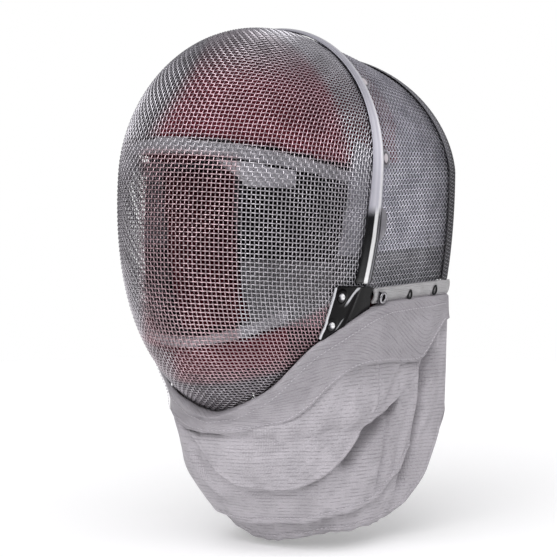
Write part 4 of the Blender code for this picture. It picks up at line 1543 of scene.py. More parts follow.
@dataclass
class RimAndEdging:
    """The steel rim band, its clips and the rolled rear edging."""

    # Rim band's reach before and behind the rim plane: turn in degrees, front, back.
    widths: tuple[tuple[float, float, float], ...] = (
        (-23.0, -0.0140, 0.0060),
        (-12.0, -0.0110, 0.0075),
        (0.0, -0.0090, 0.0060),
        (40.0, -0.0050, 0.0045),
        (90.0, -0.0045, 0.0045),
    )
    # Band section: share across, lift.
    section: tuple[tuple[float, float], ...] = (
        (0.00, 0.0011),
        (0.05, 0.0016),
        (0.30, 0.0019),
        (0.46, 0.0023),
        (0.58, 0.0033),
        (0.68, 0.0035),
        (0.80, 0.0025),
        (0.95, 0.0017),
        (1.00, 0.0012),
    )
    band_wall: float = 0.0009
    # Edging section: reach from the shell's rear edge, lift.
    channel: tuple[tuple[float, float], ...] = (
        (-0.0068, 0.0010),
        (-0.0062, 0.0018),
        (-0.0010, 0.0020),
        (0.0012, 0.0008),
        (0.0018, -0.0009),
        (0.0012, -0.0026),
        (-0.0010, -0.0037),
        (-0.0065, -0.0035),
    )
    channel_wall: float = 0.0011
    channel_turn: float = -24.7
    clip_turns: tuple[float, ...] = (40.0, 6.5, -10.4)
    clip_length: float = 0.0120
    clip_depth: float = 0.0075
    clip_wall: float = 0.0009

    def reach(self, turn: np.ndarray, across: np.ndarray) -> np.ndarray:
        """Reach from the rim plane of a place across the band.

        Args:
            turn: 0 at the wearer's left temple, a right angle at the crown.
            across: 0 at the band's front edge, 1 at its rear edge.

        Returns:
            The reach.
        """
        degrees = side_degrees(turn)
        at, front, back = zip(*self.widths)
        start = smooth_reading(at, front, degrees)
        return start + (smooth_reading(at, back, degrees) - start) * across

    def build(self) -> None:
        """Makes the band, the edging and the clips."""
        low = math.radians(self.widths[0][0])

        def band(u: np.ndarray, v: np.ndarray) -> Points:
            """Outer face of the rim band.

            Args:
                u: share along it.
                v: share across it.

            Returns:
                The points.
            """
            turn = over_crown(low, u)
            return skin_lifted(turn, self.reach(turn, v), smooth_reading(*zip(*self.section), v))

        Workshop.walled("rim_band_steel", band, (180, 18), self.band_wall, Finishes.RIM_STEEL,
                        "polished_steel", ("rim_band",))
        edge_low = math.radians(self.channel_turn)
        places = np.linspace(0, 1, len(self.channel))
        reaches, lifts = zip(*self.channel)

        def edging(u: np.ndarray, v: np.ndarray) -> Points:
            """Outer face of the rolled edging.

            Args:
                u: share along it.
                v: share across it.

            Returns:
                The points.
            """
            turn = over_crown(edge_low, u)
            reach = FORM.shell_span(turn) + smooth_reading(places, reaches, v)
            return skin_lifted(turn, reach, smooth_reading(places, lifts, v))

        Workshop.walled("rear_edging_binding", edging, (160, 16), self.channel_wall, Finishes.EDGING,
                        "edging", ("rear_edging",))
        for side, side_name in SIDES.items():
            for number, degrees in enumerate(self.clip_turns, start=1):
                self.clip(side, side_name, number, math.radians(degrees))

    def clip(self, side: int, side_name: str, number: int, middle: float) -> None:
        """Makes one round-ended clip behind the band.

        Args:
            side: LEFT or RIGHT.
            side_name: the side's name.
            number: the clip's number on that side.
            middle: its turn.
        """
        half_turn = self.clip_length / FORM.half_width / 2

        def tab(u: np.ndarray, v: np.ndarray) -> Points:
            """Outer face of the clip.

            Args:
                u: share across it.
                v: share from the band to its round end.

            Returns:
                The points.
            """
            taper = np.sqrt(1 - (0.93 * v) ** 2)
            turn = middle + half_turn * taper * (1 - 2 * u)
            start = self.reach(turn, np.ones_like(turn)) + 0.0003
            bulge = 0.0006 * np.sin(math.pi * u) * np.sin(math.pi * np.clip(v * 1.1, 0, 1))
            return skin_lifted(turn, start + self.clip_depth * v, 0.0013 + bulge) * (side, 1, 1)

        steel = Finishes.DULL_STEEL if number == len(self.clip_turns) else Finishes.CLIP_STEEL
        Workshop.walled(f"rim_clip_steel_{side_name}_{number}", tab, (16, 12), self.clip_wall, steel,
                        "polished_steel", (f"rim_clip_{side_name}_{number}",), round_edge=0.0002)


@dataclass
class RivetSet:
    """Domed rivet heads, set on points of the shell's side."""

    radius: float = 0.0033
    flatness: float = 0.55
    finish: Finishes = Finishes.RIVET_STEEL
    # Cells round a head.
    around: int = 24

    def head(self) -> bpy.types.Object:
        """One head of unit radius, dome along +Z, on a thin collar."""
        profile = [(1.0, -0.10), (1.04, 0.0), (1.0, 0.10)]
        profile += [(math.cos(t), 0.10 + math.sin(t) * 0.9) for t in np.linspace(0.16, math.pi / 2 - 0.14, 7)]
        around = self.around
        points = [(r * math.cos(2 * math.pi * k / around), r * math.sin(2 * math.pi * k / around), z)
                  for r, z in profile for k in range(around)]
        points += [(0, 0, -0.10), (0, 0, 1.0)]
        faces = [(row * around + k, row * around + (k + 1) % around,
                  (row + 1) * around + (k + 1) % around, (row + 1) * around + k)
                 for row in range(len(profile) - 1) for k in range(around)]
        last = (len(profile) - 1) * around
        faces += [((k + 1) % around, k, len(points) - 2) for k in range(around)]
        faces += [(last + k, last + (k + 1) % around, len(points) - 1) for k in range(around)]
        piece = Workshop.mesh("rivet_head", np.array(points) + HEAD_SEAT, faces)
        piece.data.shade_smooth()
        return piece

    def build(self, tree: NodeTree, name: str, places: Sequence[tuple[float, float]], lift: float, side: int,
              nodes: Sequence[str]) -> None:
        """Sets the heads in one piece.

        Args:
            tree: the tree that repeats a part on points.
            name: the piece's name.
            places: y and z of each head.
            lift: height of the underside off the form.
            side: LEFT or RIGHT.
            nodes: CAD nodes that they stand for.
        """
        head = self.head()
        y, z = np.array(places).T
        base = side_lifted(y, z, lift) * (side, 1, 1)
        outward = unit(side_lifted(y, z, lift + 0.001) * (side, 1, 1) - base)
        piece = Workshop.mesh(name, base)
        set_attribute(piece, "outward", outward)
        set_attribute(piece, "along", np.tile((0.0, 0.0, 1.0), (len(base), 1)))
        scale = (self.radius, self.radius, self.radius * self.flatness)
        tree.run(piece, {"Part": head, "Scale": scale, "Material": self.finish.make()})
        bpy.data.objects.remove(head)
        Workshop.finish(piece, None, "dark_steel", nodes)


@dataclass
class JawBrackets:
    """The dark polished plates at the jaw, with their rivets."""

    # Plate outline: y, low edge, high edge.
    edges: tuple[tuple[float, float, float], ...] = (
        (-0.0460, -0.1150, -0.0785),
        (-0.0420, -0.1162, -0.0782),
        (-0.0340, -0.1118, -0.0784),
        (-0.0260, -0.1070, -0.0788),
        (-0.0180, -0.1028, -0.0793),
        (-0.0090, -0.0998, -0.0800),
        (0.0012, -0.0992, -0.0810),
    )
    lean: float = 0.0045
    wall: float = 0.0015
    seat_gap: float = 0.0004
    rivets: tuple[tuple[float, float], ...] = ((-0.0350, -0.0860), (-0.0390, -0.1063))
    edge_rivet: tuple[float, float] = (0.0740, -0.0510)
    edge_rivet_radius: float = 0.0022

    def build(self, tree: NodeTree) -> None:
        """Makes both plates and all rivets.

        Args:
            tree: the tree that repeats a part on points.
        """
        at, low, high = zip(*self.edges)
        outer = self.seat_gap + self.wall

        def plate(u: np.ndarray, v: np.ndarray) -> Points:
            """Outer face of the left plate, ridged once and round each rivet.

            Args:
                u: share from front to rear.
                v: share from low to high.

            Returns:
                The points.
            """
            y = at[0] + (at[-1] - at[0]) * u
            bottom, top = smooth_reading(at, low, y), smooth_reading(at, high, y)
            y, z = y + self.lean * v * (1 - u), bottom + (top - bottom) * v
            lift = 0.0007 * bell(y + 0.0215 - 0.35 * (z + 0.093), 0.0016)
            for at_y, at_z in self.rivets:
                lift = lift + 0.0006 * bell(np.hypot(y - at_y, z - at_z) - 0.0046, 0.0011)
            return side_lifted(y, z, outer + lift)

        for side, side_name in SIDES.items():
            Workshop.walled(f"jaw_plate_{side_name}", lambda u, v: plate(u, v) * (side, 1, 1), (48, 36),
                            self.wall, Finishes.PLATE_LACQUER, "dark_steel", (f"jaw_bracket_{side_name}",),
                            round_edge=0.0004, lining=Finishes.DARK_CLOTH)
            RivetSet().build(tree, f"jaw_rivets_{side_name}", self.rivets, outer + self.seat_gap, side,
                             (f"bracket_rivet_{side_name}_1", f"bracket_rivet_{side_name}_2"))
            small = RivetSet(self.edge_rivet_radius, finish=Finishes.DULL_STEEL)
            small.build(tree, f"rear_rivet_{side_name}", (self.edge_rivet,), self.seat_gap, side,
                        (f"edge_rivet_{side_name}",))


@dataclass
class SeamThread:
    """Stitches along seams, made of small rounded bars."""

    length: float = 0.0019
    gap: float = 0.0013
    radius: float = 0.00030

    def bar(self) -> bpy.types.Object:
        """One stitch of unit length along X with tapered ends."""
        rings = ((-0.5, 0.35), (-0.3, 1.0), (0.3, 1.0), (0.5, 0.35))
        points = [(x, math.cos(2 * math.pi * k / 6) * r, math.sin(2 * math.pi * k / 6) * r)
                  for x, r in rings for k in range(6)]
        faces = [(row * 6 + k, row * 6 + (k + 1) % 6, (row + 1) * 6 + (k + 1) % 6, (row + 1) * 6 + k)
                 for row in range(3) for k in range(6)]
        faces += [tuple(range(5, -1, -1)), tuple(range(18, 24))]
        piece = Workshop.mesh("stitch", np.array(points) + HEAD_SEAT, faces)
        with edited(piece.data) as data:
            bmesh.ops.recalc_face_normals(data, faces=data.faces)
        piece.data.shade_smooth()
        return piece

    def build(self, tree: NodeTree, name: str, lines: Sequence[tuple[Points, Points]], slot: str) -> None:
        """Sews along lines.

        Args:
            tree: the tree that repeats a part on points.
            name: the piece's name.
            lines: close points and outward normals of each seam.
            slot: the record's slot of the cloth.
        """
        places, alongs, outs = [], [], []
        for points, normals in lines:
            step = np.linalg.norm(np.diff(points, axis=0), axis=-1)
            length = np.concatenate(([0], np.cumsum(step)))
            count = int(length[-1] / (self.length + self.gap))
            at = (np.arange(count) + 0.5) * length[-1] / count
            places.append(follow(points, length, at))
            ahead, behind = follow(points, length, at + 0.0005), follow(points, length, at - 0.0005)
            alongs.append(unit(ahead - behind))
            outs.append(unit(follow(normals, length, at)))
        piece = Workshop.mesh(name, np.concatenate(places))
        set_attribute(piece, "along", np.concatenate(alongs))
        set_attribute(piece, "outward", np.concatenate(outs))
        bar = self.bar()
        tree.run(piece, {"Part": bar, "Scale": (self.length, self.radius, self.radius),
                         "Material": Finishes.THREAD.make()})
        bpy.data.objects.remove(bar)
        Workshop.finish(piece, None, slot)


@dataclass(frozen=True)
class Fold:
    """A crease in the bib's cloth along a line of (around, z) places."""

    line: tuple[tuple[float, float], ...]
    depth: float
    width: float
    swell: float
    swell_width: float


class Edge(IntEnum):
    """Columns of the bib's edges."""

    COLLAR_TOP = 1
    BASE_TOP = 2
    COLLAR_LOW = 3
    COVER_LOW = 4
    HEM = 5


@dataclass
class Bib:
    """The cloth bib: a base layer, a cover, a tier over it and a collar round the jaw, sewn together."""

    unit_length: float = 0.30
    # Edges by place round the half outline: around, then a height for each Edge.
    edges: tuple[tuple[float, float, float, float, float, float], ...] = (
        (0.000, -0.1755, -0.1800, -0.1860, -0.2570, -0.2770),
        (0.050, -0.1715, -0.1775, -0.1855, -0.2570, -0.2760),
        (0.100, -0.1657, -0.1735, -0.1842, -0.2565, -0.2748),
        (0.185, -0.1530, -0.1625, -0.1805, -0.2562, -0.2735),
        (0.265, -0.1305, -0.1400, -0.1680, -0.2550, -0.2712),
        (0.320, -0.1165, -0.1220, -0.1515, -0.2520, -0.2690),
        (0.350, -0.1145, -0.1160, -0.1445, -0.2505, -0.2680),
        (0.395, -0.1045, -0.1085, -0.1370, -0.2485, -0.2670),
        (0.440, -0.1005, -0.1015, -0.1362, -0.2470, -0.2665),
        (0.455, -0.0950, -0.0960, -0.1366, -0.2464, -0.2664),
        (0.590, -0.0948, -0.0958, -0.1391, -0.2385, -0.2658),
        (0.710, -0.0948, -0.0958, -0.1405, -0.2215, -0.2650),
        (0.770, -0.0948, -0.0958, -0.1405, -0.2020, -0.2640),
        (0.880, -0.0948, -0.0958, -0.1236, -0.2020, -0.2500),
        (0.950, -0.0948, -0.0958, -0.1150, -0.2020, -0.2190),
        (0.980, -0.0948, -0.0958, -0.1125, -0.2020, -0.1980),
        (1.000, -0.0948, -0.0958, -0.1110, -0.2020, -0.1700),
    )
    # Lower edge of the tier: around, height.
    tier_edge: tuple[tuple[float, float], ...] = (
        (-0.130, -0.1875),
        (-0.100, -0.1890),
        (-0.068, -0.1900),
        (-0.030, -0.1985),
        (0.005, -0.2120),
        (0.052, -0.2210),
        (0.110, -0.2245),
        (0.188, -0.2260),
        (0.290, -0.2200),
        (0.353, -0.2090),
        (0.385, -0.2000),
        (0.423, -0.1830),
        (0.460, -0.1760),
        (0.510, -0.1725),
        (0.640, -0.1660),
        (0.765, -0.1490),
    )
    # Seam down the tier: height, around.
    tier_seam: tuple[tuple[float, float], ...] = ((-0.176, 0.433), (-0.167, 0.455), (-0.137, 0.460))
    cover_rear: float = 0.765
    tier_end: float = -0.125
    layer_lift: float = 0.0024
    tier_lift: float = 0.0046
    wall: float = 0.0012
    # Margin that turns inward behind the neck: its length, its bend and how much lower its hem hangs.
    wrap: float = 0.048
    wrap_radius: float = 0.0040
    wrap_drop: float = 0.040
    # Creases under the tier and on the cover and base.
    folds: tuple[Fold, ...] = (
        Fold(((0.600, -0.170), (0.560, -0.1735), (0.505, -0.180), (0.460, -0.1885), (0.425, -0.199),
              (0.395, -0.207)),
             -0.0130, 0.0080, 0.0006, 0.020),
        Fold(((0.600, -0.176), (0.565, -0.200), (0.545, -0.226)),
             -0.0034, 0.007, 0.0016, 0.014),
        Fold(((0.885, -0.126), (0.845, -0.155), (0.815, -0.195), (0.770, -0.232)),
             -0.0075, 0.009, 0.0010, 0.018),
        Fold(((0.330, -0.214), (0.200, -0.232), (0.060, -0.229), (-0.020, -0.212)),
             -0.0026, 0.005, 0.0012, 0.012),
        Fold(((-0.180, -0.186), (-0.140, -0.202), (-0.095, -0.222), (-0.060, -0.236)),
             -0.0050, 0.0044, 0.0030, 0.011),
        Fold(((-0.105, -0.203), (-0.080, -0.222), (-0.045, -0.238)),
             -0.0034, 0.0034, 0.0024, 0.010),
        Fold(((-0.055, -0.203), (-0.040, -0.216), (-0.015, -0.228)),
             -0.0028, 0.0030, 0.0016, 0.009),
    )
    # Creases of the tier.
    tier_folds: tuple[Fold, ...] = (
        Fold(((0.423, -0.184), (0.330, -0.187), (0.240, -0.193), (0.150, -0.196)),
             -0.0026, 0.005, 0.0020, 0.013),
        Fold(((0.180, -0.189), (0.080, -0.191), (-0.020, -0.187), (-0.080, -0.180)),
             -0.0034, 0.0042, 0.0024, 0.011),
        Fold(((0.620, -0.147), (0.560, -0.158), (0.500, -0.166)),
             -0.0026, 0.006, 0.0016, 0.012),
        Fold(((0.405, -0.141), (0.375, -0.158), (0.330, -0.178)),
             -0.0010, 0.006, 0.0008, 0.012),
    )

    def soft_edge(self, edge: Edge, around: np.ndarray) -> np.ndarray:
        """Height of an edge with its corners smoothed.

        Args:
            edge: which edge.
            around: place round the outline.

        Returns:
            The height.
        """
        places, heights = [row[0] for row in self.edges], [row[edge] for row in self.edges]
        shifts = (-0.03, -0.015, 0.0, 0.015, 0.03)
        return sum(np.interp(np.abs(around + shift), places, heights) for shift in shifts) / len(shifts)

    def crease(self, folds: Sequence[Fold], around: np.ndarray, z: np.ndarray) -> np.ndarray:
        """Lift that a set of creases gives.

        Args:
            folds: the creases.
            around: place round the outline.
            z: height.

        Returns:
            The lift.
        """
        shape = np.broadcast(around, z).shape
        where = np.stack((np.broadcast_to(around, shape) * self.unit_length, np.broadcast_to(z, shape)), -1)
        lift = np.zeros(shape)
        for fold in folds:
            line = np.array(fold.line) * (self.unit_length, 1.0)
            best, side = np.full(shape, 1.0), np.zeros(shape)
            past = np.zeros(shape)
            for start, end in zip(line[:-1], line[1:]):
                along = end - start
                free = ((where - start) @ along) / (along @ along)
                t = np.clip(free, 0.0, 1.0)
                gap = where - start - t[..., None] * along
                distance = np.linalg.norm(gap, axis=-1)
                cross = along[0] * gap[..., 1] - along[1] * gap[..., 0]
                nearer = distance < best
                side = np.where(nearer, np.sign(cross), side)
                past = np.where(nearer, np.abs(free - t) * np.linalg.norm(along), past)
                best = np.where(nearer, distance, best)
            upper = side if line[-1][0] > line[0][0] else -side
            lift += fold.depth * bell(best, fold.width)
            bulge = bell(best - fold.swell_width, 0.7 * fold.swell_width)
            lift += fold.swell * bulge * np.where(upper > 0, 1.0, -0.25) * bell(past, 0.004)
        return lift

    def waves(self, around: np.ndarray, z: np.ndarray) -> np.ndarray:
        """Soft unevenness of hanging cloth.

        Args:
            around: place round the outline.
            z: height.

        Returns:
            The lift.
        """
        x = around * self.unit_length
        lift = 0.0008 * np.sin(x * 95 + 40 * z) * np.sin(z * 120 + 1.3) * ease((-0.150 - z) / 0.05)
        lift = lift + 0.0004 * np.sin(x * 210 - 150 * z + 2 * np.sin(x * 60)) * ease((-0.140 - z) / 0.04)
        return lift + 0.0016 * np.sin(x * 36 + 2.0) * ease((-0.215 - z) / 0.06)

    def layer(self, around: np.ndarray, z: np.ndarray, lift: Union[float, np.ndarray],
              folds: Sequence[Fold] = ()) -> Points:
        """Point of a draped layer.

        Args:
            around: place round the outline.
            z: height.
            lift: distance off the bib's base form before the drape.
            folds: the layer's creases.

        Returns:
            The points.
        """
        # The cover hangs back a little below the right jaw.
        slack = ease((-0.172 - z) / 0.02) * (1 - ease((-0.228 - z) / 0.025))
        slack = -0.0030 * slack * bell(around + 0.36, 0.17)
        drape = self.waves(around, z) + self.crease(folds, around, z) + slack
        return bib_lifted(around, z, lift + drape)

    def tier_low(self, around: np.ndarray) -> np.ndarray:
        """Height of the tier's lower edge."""
        return smooth_reading(*zip(*self.tier_edge), around)

    def tier_rise(self, around: np.ndarray, z: np.ndarray) -> np.ndarray:
        """Lift of the tier: full at its lower edge, more over the pinch, none at the sewn top and rear.

        Args:
            around: place round the outline.
            z: height.

        Returns:
            The lift.
        """
        low, top = self.tier_low(around), self.soft_edge(Edge.COLLAR_LOW, around)
        down = np.clip((top - z) / np.maximum(top - low, 1e-4), 0.0, 1.2)
        rear = (1 - ease((around - 0.57) / 0.14)) * (1 - ease((-0.060 - around) / 0.055))
        pinch = 0.0040 * bell(around - 0.445, 0.075)
        seam = 0.0009 * bell((around - np.interp(z, *zip(*self.tier_seam))) * self.unit_length, 0.0014)
        body = (self.tier_lift - self.layer_lift) * (0.35 + 0.65 * ease(down * 1.6)) * rear
        return self.layer_lift + body - 0.0012 * (1 - rear) + pinch * ease(down) + seam

    def gap_to_mesh(self, around: np.ndarray, z: np.ndarray) -> np.ndarray:
        """Distance inward from the collar to the wire form, up to 14 mm.

        Args:
            around: place round the outline.
            z: height.

        Returns:
            The distance.
        """
        outer = bib_lifted(around, z, self.tier_lift)
        inward = unit(bib_lifted(around, z, 0.0) - outer)
        low, high = np.zeros(outer.shape[:-1]), np.full(outer.shape[:-1], 0.014)
        for _ in range(24):
            middle = (low + high) / 2
            inside = FORM.level_set(outer + inward * middle[..., None]) < 0
            high, low = np.where(inside, middle, high), np.where(inside, low, middle)
        return low

    def past_cover(self, around: np.ndarray, z: np.ndarray) -> np.ndarray:
        """Distance outside the cover's lower edge and rear ends.

        Args:
            around: place round the outline.
            z: height.

        Returns:
            The distance, 0 under the cover.
        """
        beyond = np.maximum(self.soft_edge(Edge.COVER_LOW, around) - z, 0.0)
        beside = np.maximum(np.abs(around) - self.cover_rear, 0.0) * self.unit_length
        return np.hypot(beyond, beside)

    def base_around(self, u: np.ndarray) -> np.ndarray:
        """Place round the outline on the base; past 1 either way is its turned margin."""
        return (2 * u - 1) * (1 + self.wrap / self.unit_length)

    def tier_around(self, u: np.ndarray) -> np.ndarray:
        """Place round the outline on the tier, which ends a little before the cover does."""
        return self.tier_end + (self.cover_rear - 0.004 - self.tier_end) * u

    def collar_sink(self, around: np.ndarray) -> np.ndarray:
        """How far the collar's ends lie nearer to the cloth under them."""
        return 0.0028 * ease((np.abs(around) - 0.80) / 0.18)

    def base(self, u: np.ndarray, v: np.ndarray) -> Points:
        """Outer face of the base, with the margins that turn inward at its rear ends.

        Args:
            u: share round the outline.
            v: share from the hem to the top.

        Returns:
            The points.
        """
        whole = self.base_around(u)
        extra = np.maximum(np.abs(whole) - 1, 0.0) * self.unit_length
        around = np.clip(whole, -1, 1)
        hem, top = self.soft_edge(Edge.HEM, around), self.soft_edge(Edge.BASE_TOP, around)
        hem = hem - self.wrap_drop * ease((np.abs(whole) - 1) * self.unit_length / 0.016)
        z = hem + (top - hem) * v
        hem_roll = 0.0012 * bell(z - hem, 0.003)
        # The cloth sinks beside the cover's edge, less on the wearer's right.
        calm = 1 - 0.75 * ease((-0.06 - around) / 0.14)
        away = self.past_cover(around, z)
        sunk = -0.0034 * calm * bell(away, 0.010) * (away > 0)
        points = self.layer(around, z, hem_roll + sunk, self.folds)
        bend = np.minimum(extra / self.wrap_radius, math.pi / 2)
        straight = np.maximum(extra - self.wrap_radius * math.pi / 2, 0.0)
        inward = self.wrap_radius * (1 - np.cos(bend)) + straight
        turned = (-np.sign(whole) * inward, self.wrap_radius * np.sin(bend), 0.1 * inward)
        return points + np.stack(turned, -1)

    def collar(self, u: np.ndarray, v: np.ndarray) -> Points:
        """Outer face of the collar, whose top curls over onto the wire form.

        Args:
            u: share round the outline.
            v: share from the lower edge to the end of the curl.

        Returns:
            The points.
        """
        around = 2 * u - 1
        low, top = self.soft_edge(Edge.COLLAR_LOW, around), self.soft_edge(Edge.COLLAR_TOP, around)
        # The top stands higher under the right bracket, so that no light comes through there.
        top = top + 0.0040 * bell(around + 0.385, 0.060)
        # The last fifth curls over, and the rest is the collar's face.
        body = np.clip(v / 0.8, 0.0, 1.0)
        curl = np.clip((v - 0.8) / 0.2, 0.0, 1.0) * math.pi / 2
        gap = np.clip(self.gap_to_mesh(around, top + 0.001) - 0.0006, 0.0012, None)
        z = low + (top - low) * body + 0.0022 * np.sin(curl)
        # The centre front stands out toward the top, and the right jaw's part lies closer.
        flare = 0.0012 * body**2 * np.clip(1 - np.abs(around) / 0.35, 0, 0.33) * 3
        hem = 0.0006 * bell(z - low, 0.003)
        rise = self.tier_lift + 0.0006 * (1 - body) + flare + hem - 0.0030 * bell(around + 0.36, 0.13)
        rise = rise - self.collar_sink(around)
        return self.layer(around, z, rise - gap * (1 - np.cos(curl)))

    def cover(self, u: np.ndarray, v: np.ndarray) -> Points:
        """Outer face of the cover.

        Args:
            u: share round the outline.
            v: share from the lower edge to the top.

        Returns:
            The points.
        """
        around = self.cover_rear * (2 * u - 1) * (1 + 0.02 * np.sin(math.pi * v))
        low, top = self.soft_edge(Edge.COVER_LOW, around), self.soft_edge(Edge.COLLAR_LOW, around) - 0.0006
        z = low + (top - low) * v
        hem = 0.0014 * (1 - 0.8 * ease((-0.06 - around) / 0.14)) * bell(z - low, 0.0026)
        end = 0.0012 * bell((1 - np.abs(2 * u - 1)) * self.cover_rear * self.unit_length, 0.0030)
        tuck = -0.0012 * bell(z - top, 0.003)
        return self.layer(around, z, self.layer_lift + hem + end + tuck, self.folds)

    def tier(self, u: np.ndarray, v: np.ndarray) -> Points:
        """Outer face of the tier.

        Args:
            u: share from its right end to its left end.
            v: share from the lower edge to the top.

        Returns:
            The points.
        """
        around = self.tier_around(u)
        low, top = self.tier_low(around), self.soft_edge(Edge.COLLAR_LOW, around) + 0.0012
        z = low + (top - low) * v
        hem = 0.0010 * bell(z - low, 0.0024) * ease((around + 0.115) / 0.06)
        return self.layer(around, z, self.tier_rise(around, z) + hem, self.tier_folds)

    def build(self, tree: NodeTree) -> None:
        """Makes the four layers and their stitches.

        Args:
            tree: the tree that repeats a part on points.
        """
        plain, bias = Finishes.BIB_CLOTH, Finishes.BIAS_CLOTH
        for name, surface, cells, finish, nodes, flat, rests in (
                ("bib_base_cloth", self.base, (210, 54), plain, ("bib_base",), (0.56, 0.170),
                 "bib_collar_cloth"),
                ("bib_collar_cloth", self.collar, (260, 30), bias, ("bib_collar",), (0.52, 0.042),
                 "face_warp_left"),
                ("bib_cover_cloth", self.cover, (210, 50), plain, ("bib_cover",), (0.44, 0.085),
                 "bib_base_cloth"),
                ("bib_tier_cloth", self.tier, (210, 34), plain, (), (0.27, 0.040), "bib_cover_cloth"),
        ):
            # The layers' inner faces are near-black as painted shade inside the bib.
            piece = Workshop.walled(name, surface, cells, self.wall, finish, "bib_cloth", nodes,
                                    inside=BIB_CENTRE, lining=Finishes.BIB_LINING,
                                    crease=self.depths(name, *cells))
        SeamThread().build(tree, "bib_stitches", self.seams(), "bib_cloth")

    def depths(self, name: str, columns: int, rows: int) -> np.ndarray:
        """Depth of the creases at the grid points of a layer, with painted shadows added, for the cloth's
        painted shade.

        Args:
            name: the layer's name.
            columns: its cells round the outline.
            rows: its cells from low to high.

        Returns:
            The depths, one for each point.
        """
        u, v = np.meshgrid(np.linspace(0, 1, columns + 1), np.linspace(0, 1, rows + 1), indexing="ij")
        around, low, high, folds = {
            "bib_base_cloth": (np.clip(self.base_around(u), -1, 1), Edge.HEM, Edge.BASE_TOP, self.folds),
            "bib_cover_cloth": (self.cover_rear * (2 * u - 1), Edge.COVER_LOW, Edge.COLLAR_LOW, self.folds),
            "bib_collar_cloth": (2 * u - 1, Edge.COLLAR_LOW, Edge.COLLAR_TOP, ()),
            "bib_tier_cloth": (self.tier_around(u), None, Edge.COLLAR_LOW, self.tier_folds),
        }[name]
        bottom = self.soft_edge(low, around) if low else self.tier_low(around)
        z = bottom + (self.soft_edge(high, around) - bottom) * v
        depth = np.maximum(-self.crease(folds, around, z), 0.0)
        if name == "bib_cover_cloth":
            # Painted shadow on the cover below the tier's lower edge.
            under = self.tier_low(np.clip(around, self.tier_end, None)) - z
            shadow = 0.0045 * bell(under - 0.001, 0.0045) * (under > 0)
            depth = depth + shadow * (around > self.tier_end)
        if name == "bib_base_cloth":
            # Painted shade on the base beside the cover's edges.
            away = self.past_cover(around, z)
            depth = depth + 0.0068 * bell(away, 0.016) * (away > 0)
        return depth.ravel()

    def seams(self) -> list[tuple[Points, Points]]:
        """Lines of the bib's stitching with their normals."""
        lines = []
        at = np.linspace(-0.970, 0.970, 500)
        for edge, offset in ((Edge.COLLAR_LOW, 0.0022), (Edge.COLLAR_TOP, -0.0055)):
            lift = self.tier_lift + 0.0010 - self.collar_sink(at)
            lines.append((at, self.soft_edge(edge, at) + offset, lift, ()))
        at = np.linspace(-0.16, 0.74, 300)
        lines.append((at, self.soft_edge(Edge.COVER_LOW, at) + 0.0040, self.layer_lift + 0.0006, self.folds))
        at = np.linspace(-0.16, 0.97, 400)
        lines.append((at, self.soft_edge(Edge.HEM, at) + 0.0045, np.full_like(at, 0.0004), self.folds))
        z = np.linspace(-0.138, -0.174, 40)
        at = np.interp(z, *zip(*self.tier_seam)) + 0.009
        lines.append((at, z, self.tier_rise(at, z) + 0.0003, self.tier_folds))
        result = []
        for at, z, lift, folds in lines:
            points = self.layer(at, z, lift, folds)
            result.append((points, unit(self.layer(at, z, lift + 0.001, folds) - points)))
        return result


